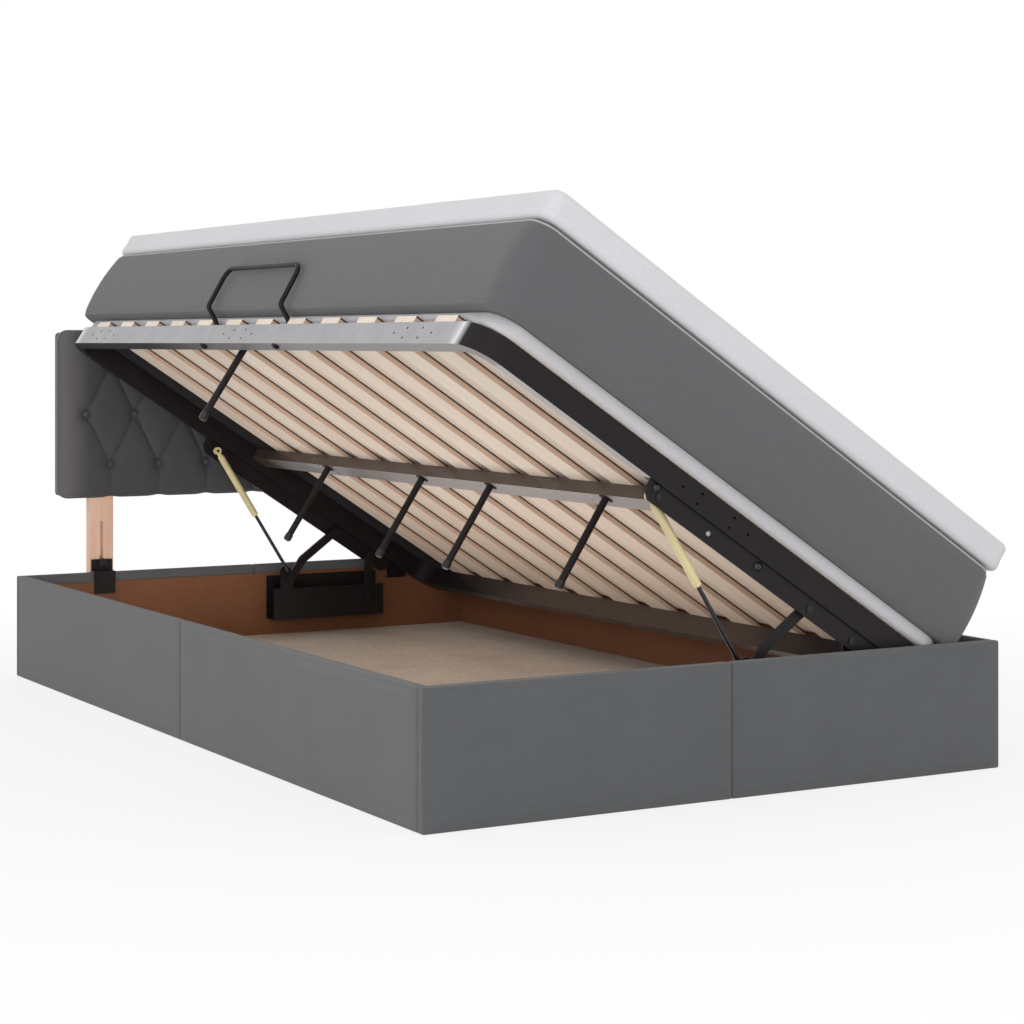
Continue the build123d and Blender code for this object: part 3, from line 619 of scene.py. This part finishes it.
def rail_with_painted_reflection(name, silver, black):
    """Silver on the straight run, brightest where it starts to bend, black round the corner: the silver is
    painted reflection of the bright studio on a dark powder-coated rail, and the brightest strip is a
    painted highlight.
    """
    material, tree, shader = new_material(name, roughness=0.4)
    vector = place_vector(tree, tilted=True)
    axes = add_node(tree, "ShaderNodeSeparateXYZ", {0: vector})
    from_middle = math_node(tree, "SUBTRACT", axes.outputs[1], PLATFORM_MIDDLE)
    away = math_node(tree, "ABSOLUTE", from_middle)
    corner = remap(tree, away, RAIL_BEND_START + 0.002, RAIL_BEND_START + 0.020, 0.0, 1.0)
    marks = noise_at(tree, vector, 22.0, 6.0, 0.7)
    wear_and_painted_light = blend_colour(tree, remap(tree, marks, 0.4, 0.75, 0.0, 0.6), silver, shade(silver, 0.86))
    # painted highlight: the silver brightens towards the start of the bend
    painted_glint = remap(tree, away, RAIL_BEND_START - 0.03, RAIL_BEND_START + 0.002, 0.0, 1.0)
    wear_and_painted_light = blend_colour(tree, math_node(tree, "POWER", painted_glint, 2.0), wear_and_painted_light, shade(silver, 1.9))
    # the underside stays silver round the corner and darkens towards the head end: painted reflection of
    # the bright floor that fades into painted shade
    under = underside_share(tree, RAIL_LOW)
    corner = math_node(tree, "MULTIPLY", corner, math_node(tree, "SUBTRACT", 1.0, under))
    to_head = remap(tree, axes.outputs[1], -0.35, 0.45, 0.0, 1.0)
    underside_light_and_shade = blend_colour(tree, to_head, shade(silver, 0.72), shade(silver, 0.05))
    painted = blend_colour(tree, under, blend_colour(tree, corner, wear_and_painted_light, black), underside_light_and_shade)
    # painted shade: the inner faces of the tube, seen through its holes, are painted near black
    painted = blend_colour(tree, inside_rail(tree, axes, away), painted, TUBE_INSIDE_SHADE)
    tree.links.new(painted, shader.inputs["Base Color"])
    tree.links.new(remap(tree, marks, 0.3, 0.7, 0.34, 0.5), shader.inputs["Roughness"])
    shader.inputs["Specular IOR Level"].default_value = 0.2
    tree.links.new(remap(tree, corner, 0, 1, 0.3, 0.0), shader.inputs["Metallic"])
    add_bump(tree, shader, noise_at(tree, vector, 700.0, 2.0), 0.00012)
    return material


def plated_metal(name, colour, roughness):
    """Zinc or nitrided steel: turned marks and cloudy plating."""
    material, tree, shader = new_material(name, roughness=roughness, metallic=0.9)
    cloud = noise_at(tree, place_vector(tree), 60.0, 5.0, 0.7)
    lines = noise_at(tree, place_vector(tree, (90, 900, 90)), 1.0, 2.0)
    base = blend_colour(tree, cloud, shade(colour, 0.8), shade(colour, 1.1))
    tree.links.new(base, shader.inputs["Base Color"])
    rough = remap(tree, cloud, 0.3, 0.7, roughness - 0.1, roughness + 0.12)
    tree.links.new(rough, shader.inputs["Roughness"])
    add_bump(tree, shader, lines, 0.00008)
    return material


def fibreboard(name, colour):
    """Stained fibreboard: short flecks and a dull satin face."""
    material, tree, shader = new_material(name, roughness=0.7)
    flecks = noise_at(tree, place_vector(tree, (60, 60, 220)), 1.0, 4.0, 0.7)
    cloud = noise_at(tree, place_vector(tree), 6.0, 4.0)
    base = blend_colour(tree, cloud, shade(colour, 0.8), shade(colour, 1.25))
    fleck_share = remap(tree, flecks, 0.5, 0.75, 0.0, 0.5)
    flecked = blend_colour(tree, fleck_share, base, shade(colour, 0.5))
    tree.links.new(flecked, shader.inputs["Base Color"])
    add_bump(tree, shader, flecks, 0.0002)
    return material


materials = {
    "side_fabric": fabric("side_fabric", (0.140, 0.143, 0.147)),
    # painted shade: the end panels' cloth is the side panels' cloth made a little darker, for the end faces
    # that get less of the key light
    "end_fabric": fabric("end_fabric", (0.124, 0.128, 0.132)),
    "inner_board": fibreboard("inner_board", (0.20, 0.075, 0.028)),
    "floor_board": fibreboard("floor_board", (0.62, 0.54, 0.47)),
    "batten_wood": wood("batten_wood", (0.58, 0.41, 0.26), (0.42, 0.27, 0.15), (70, 3, 70)),
    "headboard_fabric": velvet("headboard_fabric", (0.070, 0.071, 0.075)),
    "backing_board": fabric("backing_board", (0.130, 0.124, 0.131), pitch=0.003, sheen=0.1),
    "leg_wood": wood("leg_wood", (0.93, 0.67, 0.53), (0.81, 0.49, 0.35), (110, 110, 5)),
    # the last colour in ply is a painted contact shadow, and the tan of the slat sides is partly painted
    # shade
    "slat_wood": wood("slat_wood", (0.95, 0.84, 0.72), (0.84, 0.68, 0.56), (4, 95, 95), tilted=True,
                      boards=(SLAT_MIDDLE, SLAT_PITCH), roughness=0.45,
                      ply=(SLAT_LOW, BAND_BOTTOM, (0.82, 0.61, 0.47), (0.060, 0.030, 0.018))),
    "black_plastic": powder_coat("black_plastic", (0.010, 0.008, 0.008), 0.35, grain=300.0),
    "mattress_fabric": fabric("mattress_fabric", (0.138, 0.141, 0.145), tilted=True, mottling=0.05),
    "band_fabric": knit("band_fabric", (0.60, 0.59, 0.61), (0.80, 0.69, 0.59)),
    "piping_fabric": fabric("piping_fabric", (0.56, 0.555, 0.565), pitch=0.0012, tilted=True),
    "topper_fabric": knit("topper_fabric", (0.75, 0.735, 0.76)),
    # painted reflection: the rail is dark, and the silver of its straight run stands in for the bright
    # studio it mirrors
    "silver_paint": rail_with_painted_reflection("silver_paint", (0.43, 0.43, 0.445), (0.014, 0.011, 0.012)),
    "cream_paint": powder_coat("cream_paint", (0.70, 0.60, 0.33), 0.35, grain=400.0),
    "rod_steel": plated_metal("rod_steel", (0.05, 0.05, 0.055), 0.28),
    "rivet_steel": plated_metal("rivet_steel", (0.40, 0.40, 0.42), 0.45),
    "plated_steel": plated_metal("plated_steel", (0.040, 0.038, 0.040), 0.35),
    # the paler undersides of the beam and the rails are painted reflection of the bright floor, fading into
    # painted shade towards the head end
    "beam_paint": powder_coat("beam_paint", (0.060, 0.042, 0.034), 0.3,
                              underside=(BEAM_LOW, (0.38, 0.36, 0.36), 0.0, 0.0)),
    "black_paint": powder_coat("black_paint", (0.014, 0.011, 0.012), 0.34, shine=0.18,
                               underside=(RAIL_LOW, (0.50, 0.50, 0.50), -0.124, 0.300)),
}


def dress_cad_nodes():
    """Every CAD node gets the material of its slot in the record."""
    slots = {entry["node"]: entry["material_slot"] for entry in frame["record"]["subparts"]}
    for name, node in frame["nodes"].items():
        node.data.materials.clear()
        node.data.materials.append(materials[slots[name]])


# Upholstered boards of the storage box
def cover_board(name, slot, outward):
    """A fabric-covered board: eased edges, a slightly padded outer face and shallow drawn places."""
    lo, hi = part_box(name)
    centre = (Vector(lo) + Vector(hi)) / 2
    half = (Vector(hi) - Vector(lo)) / 2
    axis = 0 if abs(outward[0]) else 1
    along = 1 - axis

    def swell(point):
        if (point[axis] - centre[axis]) * outward[axis] < 0:
            return point
        edge_z = half.z - abs(point.z - centre.z)
        edge_along = half[along] - abs(point[along] - centre[along])
        share = min(1.0, max(0.0, min(edge_z, edge_along) / 0.03))
        crown = COVER_CROWN * share * (2 - share)
        ripple = COVER_RIPPLE * noise.noise(point * 7.0) * share
        moved = point.copy()
        moved[axis] += outward[axis] * (crown + ripple)
        return moved

    points, faces = rounded_block(list(lo), list(hi), COVER_EDGE, COVER_GRID, swell)
    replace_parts(new_piece(name + "_cover", points, faces, "base", slot), name)


def sew_hem(name, slot, outward):
    """A raised sewn edge along the top of a board, on its inner side."""
    lo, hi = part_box(name)
    axis = 0 if outward[0] else 1
    inner = lo[axis] if outward[axis] > 0 else hi[axis]
    start, stop = Vector(lo), Vector(hi)
    for end in (start, stop):
        end.z = hi.z - HEM_DROP
        end[axis] = inner + outward[axis] * HEM_OUT
    start[1 - axis] += HEM_SHORT
    stop[1 - axis] -= HEM_SHORT
    count = max(8, round((stop - start).length / 0.03))
    points = []
    for k in range(count + 1):
        place = start.lerp(stop, k / count)
        points.append(place + Vector((0, 0, 0.0002 * noise.noise(place * 30))))
    flat, faces = tube_along(points, HEM_R, False)
    new_piece(name + "_hem", flat, faces, "base", slot)


def cover_box():
    for side, outward in (("left", (-1, 0)), ("right", (1, 0))):
        for end in ("foot", "head"):
            name = "side_panel_" + side + "_" + end
            cover_board(name, "side_fabric", outward)
            sew_hem(name, "side_fabric", outward)
    for end, outward in (("foot", (0, -1)), ("head", (0, 1))):
        for side in ("left", "right"):
            name = end + "_panel_" + side
            cover_board(name, "end_fabric", outward)
            sew_hem(name, "end_fabric", outward)


# Mattress, piping, band and topper
def mattress_profile():
    """Flat below, a side that swells between its two seams, and a softer round edge above."""
    low, high = BED_EDGE_LOW, BED_EDGE_TOP
    caps = cap_insets(0.018, CAP_END)
    pairs = [(inset, BED_BOTTOM) for inset in reversed(caps)]
    pairs += arc_profile(-90, -20, 0.002 + low, BED_BOTTOM + low, low, 3)
    for k in range(1, 12):
        share = k / 12
        swell = math.sin(math.pi * share)
        inset = BED_SEAM_INSET * (1 - swell ** 0.5) - BED_BULGE * (0.5 + 0.5 * swell)
        pairs.append((inset, BED_BOTTOM + share * (BED_TOP - BED_BOTTOM)))
    pairs += arc_profile(35, 90, 0.004 + high, BED_TOP - high, high, 3)
    pairs += [(inset, BED_TOP) for inset in caps]
    return pairs


def mattress_shape(point):
    """Foam that pulls in a little between its corners, with soft unevenness."""
    middle_y = (BED_FOOT + BED_HEAD) / 2
    middle_x = (BED_FRONT + BED_BACK) / 2
    half_y = (BED_HEAD - BED_FOOT) / 2
    half_x = (BED_BACK - BED_FRONT) / 2
    away_y = (point.y - middle_y) / half_y
    away_x = (point.x - middle_x) / half_x
    share = (point.z - BED_BOTTOM) / (BED_TOP - BED_BOTTOM)
    loose = math.sin(math.pi * min(1.0, max(0.0, share)))
    ripple = SOFT_RIPPLE * loose * noise.noise(Vector((point.x, point.y, point.z * 0.5)) * 4.0)
    moved = point.copy()
    if abs(away_x) > abs(away_y):
        pull = BED_PULL * (1 - away_y * away_y)
        moved.x += math.copysign(ripple - pull * loose, away_x)
    else:
        pull = BED_PULL * (1 - away_x * away_x)
        moved.y += math.copysign(ripple - pull * loose, away_y)
    return TO_OPEN @ moved


def make_mattress():
    corner = (BED_CORNER_LOW, BED_CORNER_TOP)
    points, faces = slab(BED_FRONT, BED_BACK + BED_LOOSE, BED_FOOT, BED_HEAD, corner,
                         mattress_profile(), mattress_shape)
    piece = new_piece("mattress_cover", points, faces, "platform", "mattress_fabric")
    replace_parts(piece, "mattress")


def make_piping():
    """The cord sits on the mattress's rounded shoulder, so a dark gap stays open under the topper."""
    z = BED_TOP - PIPING_DROP
    x0, x1 = BED_FRONT + PIPING_INSET, BED_BACK + BED_LOOSE - PIPING_INSET
    y0, y1 = BED_FOOT + PIPING_INSET, BED_HEAD - PIPING_INSET
    outline = rounded_outline(x0, x1, y0, y1, BED_CORNER_TOP - PIPING_INSET, *PLAN_STEPS)
    points = [TO_OPEN @ Vector((x, y, z)) for x, y in outline]
    flat, faces = tube_along(points, PIPING_R, True)
    piece = new_piece("mattress_piping_cord", flat, faces, "platform", "piping_fabric")
    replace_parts(piece, "mattress_piping")


def band_shape(point):
    """The pale lower layer lies on the slats and sags onto the end rails beyond the last slat."""
    moved = point.copy()
    beyond = (abs(point.y - SLAT_MIDDLE) - LAST_SLAT) / 0.05
    share = min(1.0, max(0.0, beyond))
    if point.z < BAND_BOTTOM + 0.012:
        moved.z -= BAND_SAG * share * share * (3 - 2 * share)
    return TO_OPEN @ moved


def make_band():
    top = BED_BOTTOM - 0.0002
    caps = cap_insets(BAND_EDGE, BAND_CAP_END, 14)
    pairs = [(inset, BAND_BOTTOM) for inset in reversed(caps)]
    pairs += arc_profile(-90, 90, BAND_EDGE, (BAND_BOTTOM + top) / 2, (top - BAND_BOTTOM) / 2, 8)
    pairs += [(inset, top) for inset in caps]
    back = BED_BACK + BAND_LOOSE - BAND_INSET
    points, faces = slab(BAND_FRONT, back, BED_FOOT + BAND_INSET, BED_HEAD - BAND_INSET,
                         (BAND_CORNER, BAND_CORNER), pairs, band_shape)
    piece = new_piece("mattress_band", points, faces, "platform", "band_fabric")
    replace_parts(piece, "mattress_base")


def topper_shape(point):
    """A soft top with a low crown and slight dimples, which fade where the flat middle face begins."""
    middle_y = (TOPPER_FOOT + TOPPER_HEAD) / 2
    middle_x = (TOPPER_FRONT + TOPPER_BACK) / 2
    away_y = abs(point.y - middle_y) / ((TOPPER_HEAD - TOPPER_FOOT) / 2)
    away_x = abs(point.x - middle_x) / ((TOPPER_BACK - TOPPER_FRONT) / 2)
    moved = point.copy()
    rise = (point.z - BED_TOP) / (TOPPER_TOP - BED_TOP)
    crown = (1 - away_x ** 4) * (1 - away_y ** 4)
    outer = min(1.0, max(0.0, (away_x - 0.08) / 0.3))
    dimples = SOFT_RIPPLE * outer * noise.noise(point * 6.0)
    moved.z += rise * (TOPPER_CROWN * max(0.0, crown) + dimples)
    return TO_OPEN @ moved


def make_topper():
    radius = TOPPER_EDGE
    low = BED_TOP + 0.0003
    pairs = [(inset, low) for inset in reversed(cap_insets(radius, CAP_END))]
    pairs += arc_profile(-90, 0, radius, low + radius, radius, 6)
    pairs.append((0.0012, (low + TOPPER_TOP) / 2))
    pairs += arc_profile(0, 90, radius, TOPPER_TOP - radius, radius, 6)
    pairs += [(inset, TOPPER_TOP) for inset in cap_insets(radius, CAP_END, 12)]
    corner = (TOPPER_CORNER, TOPPER_CORNER)
    points, faces = slab(TOPPER_FRONT, TOPPER_BACK + TOPPER_LOOSE, TOPPER_FOOT, TOPPER_HEAD, corner,
                         pairs, topper_shape)
    piece = new_piece("topper_cover", points, faces, "platform", "topper_fabric")
    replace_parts(piece, "topper")


# Headboard
def tuft_points():
    """Buttons as (x, z, row): row 0 in the middle, 1 above it and -1 below it, set half a pitch over."""
    points = [((i - (TUFT_COUNT - 1) / 2) * TUFT_DX, HEAD_MIDDLE, 0) for i in range(TUFT_COUNT)]
    for i in range(TUFT_COUNT - 1):
        x = (i - (TUFT_COUNT - 2) / 2) * TUFT_DX
        points.append((x, HEAD_MIDDLE + TUFT_DZ, 1))
        points.append((x, HEAD_MIDDLE - TUFT_DZ, -1))
    return points


def crease_lines():
    """Folds from button to button in diamonds, and weaker ones from the outer rows to the edges."""
    tufts = tuft_points()
    lines = []
    for x0, z0, row in tufts:
        if row:
            edge = HEAD_TOP if row > 0 else HEAD_BOTTOM
            lines.append((x0, z0, x0, edge, 0.55))
            continue
        for x1, z1, other in tufts:
            if other and abs(x1 - x0) < TUFT_DX:
                lines.append((x0, z0, x1, z1, 1.0))
    return lines


def distance_to_line(x, z, line):
    """From a point of the face to a fold, which starts and stops at its two ends."""
    x0, z0, x1, z1, _ = line
    dx, dz = x1 - x0, z1 - z0
    share = ((x - x0) * dx + (z - z0) * dz) / (dx * dx + dz * dz)
    share = min(1.0, max(0.0, share))
    return math.hypot(x - x0 - share * dx, z - z0 - share * dz)


def cushion_depth(x, z, tufts, lines):
    """How far the face is drawn back at a point: deep at the buttons, a sharp fold between them."""
    near_tuft = min(math.hypot(x - tx, z - tz) for tx, tz, _ in tufts)
    depth = TUFT[0] * math.exp(-((near_tuft / TUFT[1]) ** 1.5))
    fold = 0.0
    for line in lines:
        away = distance_to_line(x, z, line)
        if away < 0.05:
            sharp = SHARP_FOLD[0] * math.exp(-away / SHARP_FOLD[1])
            soft = SOFT_FOLD[0] * math.exp(-((away / SOFT_FOLD[1]) ** 2))
            fold = max(fold, line[4] * (sharp + soft))
    wave = noise.noise(Vector((x * 24, 3.0, z * 24)))
    return depth + fold + PUCKER[0] * wave * math.exp(-near_tuft / PUCKER[1])


def draw_in_corner(moved):
    """Draws the block's small round corners, seen from the front, in to the larger ones of the photo."""
    half_z = (HEAD_TOP - HEAD_BOTTOM) / 2
    over_x = (abs(moved.x) - (HEAD_HALF - HEAD_CORNER)) / HEAD_CORNER
    over_z = (abs(moved.z - HEAD_MIDDLE) - (half_z - HEAD_CORNER)) / HEAD_CORNER
    if over_x <= 0 or over_z <= 0:
        return
    away = math.hypot(over_x, over_z)
    along_x, along_z = over_x / away, over_z / away
    # reach: how far the block's outline lies from the corner's centre in this direction
    flat = 1 - HEAD_EDGE / HEAD_CORNER
    reach = 1 / max(along_x, along_z)
    if min(along_x, along_z) * reach > flat:
        middle_part = flat * (along_x + along_z)
        rest = middle_part ** 2 - 2 * flat ** 2 + (1 - flat) ** 2
        reach = middle_part + math.sqrt(max(0.0, rest))
    out_x = HEAD_HALF - HEAD_CORNER * (1 - over_x / reach)
    out_z = half_z - HEAD_CORNER * (1 - over_z / reach)
    moved.x = math.copysign(out_x, moved.x)
    moved.z = HEAD_MIDDLE + math.copysign(out_z, moved.z - HEAD_MIDDLE)


def make_headboard():
    tufts = tuft_points()
    lines = crease_lines()
    step = 0.0032
    lo = (-HEAD_HALF, HEAD_FRONT, HEAD_BOTTOM)
    hi = (HEAD_HALF, HEAD_BACK, HEAD_TOP)

    def shape(point):
        forward = (HEAD_BACK - point.y) / (HEAD_BACK - HEAD_FRONT)
        rim = min(point.z - HEAD_BOTTOM, HEAD_TOP - point.z)
        moved = point.copy()
        if forward > 0.4:
            moved.y += cushion_depth(point.x, point.z, tufts, lines) * min(1.0, (forward - 0.4) / 0.5)
            side = 1 - min(1.0, max(0.0, (HEAD_HALF - abs(point.x)) / SIDE_ROLL[1]))
            end = 1 - min(1.0, max(0.0, rim / END_ROLL[1]))
            moved.y += max(SIDE_ROLL[0] * side * side, END_ROLL[0] * end * end)
            # no deeper than this, or the legs behind would show through
            moved.y = min(moved.y, max(point.y, HEAD_FRONT + FACE_DEEPEST))
        # the folds to the top and bottom edges pull small notches into them
        share = 1 - min(1.0, rim / NOTCH_HEIGHT)
        if share > 0:
            near = min(abs(point.x - tx) for tx, _, row in tufts if row)
            notch = NOTCH[0] * math.exp(-((near / NOTCH[1]) ** 2)) * share
            moved.z -= math.copysign(notch, point.z - HEAD_MIDDLE)
        draw_in_corner(moved)
        return moved

    points, faces = rounded_block(lo, hi, HEAD_EDGE, step, shape)
    piece = new_piece("headboard_tufted", points, faces, "headboard", "headboard_fabric")
    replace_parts(piece, "headboard_cushion")


def make_buttons():
    rim, rise = 0.0018, 0.0045
    dome = [(BUTTON_R * 0.86, 0.0), (BUTTON_R, rim)]
    for k in range(1, 6):
        angle = math.radians(90 * k / 6)
        dome.append((BUTTON_R * math.cos(angle), rim + rise * math.sin(angle)))
    dome.append((BUTTON_R * 0.05, rim + rise))
    towards_front = Matrix.Rotation(math.radians(90), 4, "X")
    parts = []
    for x, z, _ in tuft_points():
        place = Matrix.Translation((x, HEAD_FRONT + BUTTON_DEPTH, z)) @ towards_front
        points, faces = lathe(dome, 22)
        parts.append(([place @ p for p in points], faces))
    points, faces = merge(parts)
    piece = new_piece("headboard_covered_buttons", points, faces, "headboard", "headboard_fabric")
    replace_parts(piece, "headboard_buttons")


# Small fasteners on the lift plates
def turned_on_plate(profile, spot, side):
    """A turned part that stands on the outer face of a lift plate; spot is (x, z) in the flat frame."""
    place = TO_OPEN @ Matrix.Translation((spot[0], PLATFORM_MIDDLE + side * PLATE_FACE, spot[1]))
    place = place @ Matrix.Rotation(math.radians(-90 * side), 4, "X")
    points, faces = lathe(profile, 20)
    return [place @ p for p in points], faces


def make_fasteners():
    """Domed heads with washers, and one bright rivet, on each lift plate."""
    head = [(0.0075, 0.0), (0.0085, 0.0012), (0.0085, 0.002), (0.0058, 0.0022), (0.0056, 0.0035),
            (0.0040, 0.0046), (0.0005, 0.0050)]
    rivet = [(0.0050, 0.0), (0.0050, 0.0010), (0.0036, 0.0024), (0.0005, 0.0030)]
    head_spots = [(-0.402, 0.377), (-0.146, 0.372), (0.150, 0.362)]
    rivet_spot = (-0.268, 0.366)
    for end, side in (("foot", -1), ("head", 1)):
        points, faces = turned_on_plate(rivet, rivet_spot, side)
        bright = materials["rivet_steel"]
        new_piece("lift_plate_rivet_" + end, points, faces, "platform", "plated_steel", bright)
        points, faces = merge([turned_on_plate(head, spot, side) for spot in head_spots])
        new_piece("lift_plate_fasteners_" + end, points, faces, "platform", "rod_steel")


# Studio
def make_camera():
    data = bpy.data.cameras.new("camera")
    camera = bpy.data.objects.new("camera", data)
    bpy.context.scene.collection.objects.link(camera)
    camera.location = CAMERA_AT
    camera.rotation_euler = (math.radians(90), 0, -CAMERA_YAW)
    data.sensor_width = 36
    data.lens = CAMERA_LENS
    data.shift_x, data.shift_y = CAMERA_SHIFT
    data.clip_start = 0.05
    data.clip_end = 200
    bpy.context.scene.camera = camera


def seen_directly(tree):
    """1 for rays from the camera and for those that mirror or pass through."""
    path = add_node(tree, "ShaderNodeLightPath")
    shown = math_node(tree, "MAXIMUM", path.outputs["Is Camera Ray"], path.outputs["Is Glossy Ray"])
    return math_node(tree, "MAXIMUM", shown, path.outputs["Is Transmission Ray"])


def make_floor():
    """Matt grey for the light, and to the eye mostly white, wholly so away from the bed."""
    bpy.ops.mesh.primitive_plane_add(size=80, location=(0, 0, -0.0005))
    floor = bpy.context.object
    floor.name = "floor"
    material = bpy.data.materials.new("floor")
    material.use_nodes = True
    tree = material.node_tree
    tree.nodes.clear()
    matte = add_node(tree, "ShaderNodeBsdfDiffuse", {"Color": (0.82, 0.82, 0.82, 1)})
    white = add_node(tree, "ShaderNodeEmission", {"Color": (1, 1, 1, 1), "Strength": 1.0})
    coordinate = add_node(tree, "ShaderNodeTexCoord")
    length = add_node(tree, "ShaderNodeVectorMath", {0: coordinate.outputs["Object"]}, operation="LENGTH")
    far = remap(tree, length.outputs["Value"], 1.0, 2.4, 0.80, 1.0)
    share = math_node(tree, "MULTIPLY", seen_directly(tree), far)
    mixed = add_node(tree, "ShaderNodeMixShader", {0: share, 1: matte.outputs[0], 2: white.outputs[0]})
    out = add_node(tree, "ShaderNodeOutputMaterial")
    tree.links.new(mixed.outputs[0], out.inputs[0])
    floor.data.materials.append(material)


def make_world():
    world = bpy.data.worlds.new("studio")
    bpy.context.scene.world = world
    world.use_nodes = True
    tree = world.node_tree
    background = tree.nodes["Background"]
    background.inputs["Color"].default_value = (1, 1, 1, 1)
    strength = remap(tree, seen_directly(tree), 0, 1, 0.78, 1.0)
    tree.links.new(strength, background.inputs["Strength"])


def area_light(name, place, target, size, power):
    data = bpy.data.lights.new(name, "AREA")
    data.size = size
    data.energy = power
    light = bpy.data.objects.new(name, data)
    bpy.context.scene.collection.objects.link(light)
    light.location = place
    direction = Vector(target) - Vector(place)
    light.rotation_euler = direction.to_track_quat("-Z", "Y").to_euler()
    return light


def make_lights():
    area_light("key", (-4.5, -1.5, 1.6), (0, 0, 0.4), size=3.5, power=20)
    area_light("fill", (-2.6, -5.0, 0.9), (0, 0, 0.4), size=2.0, power=48)
    # stands in for the light that comes off what lies in the storage
    well = area_light("well", (-0.20, 0, 0.075), (-0.20, 0, 1), size=0.7, power=2.9)
    well.data.shape = "RECTANGLE"
    well.data.size_y = 1.7
    well.visible_camera = False


make_camera()
dress_cad_nodes()
cover_box()
make_mattress()
make_piping()
make_band()
make_topper()
make_headboard()
make_buttons()
make_fasteners()
make_floor()
make_world()
make_lights()
bpy.context.scene.view_settings.view_transform = "Standard"
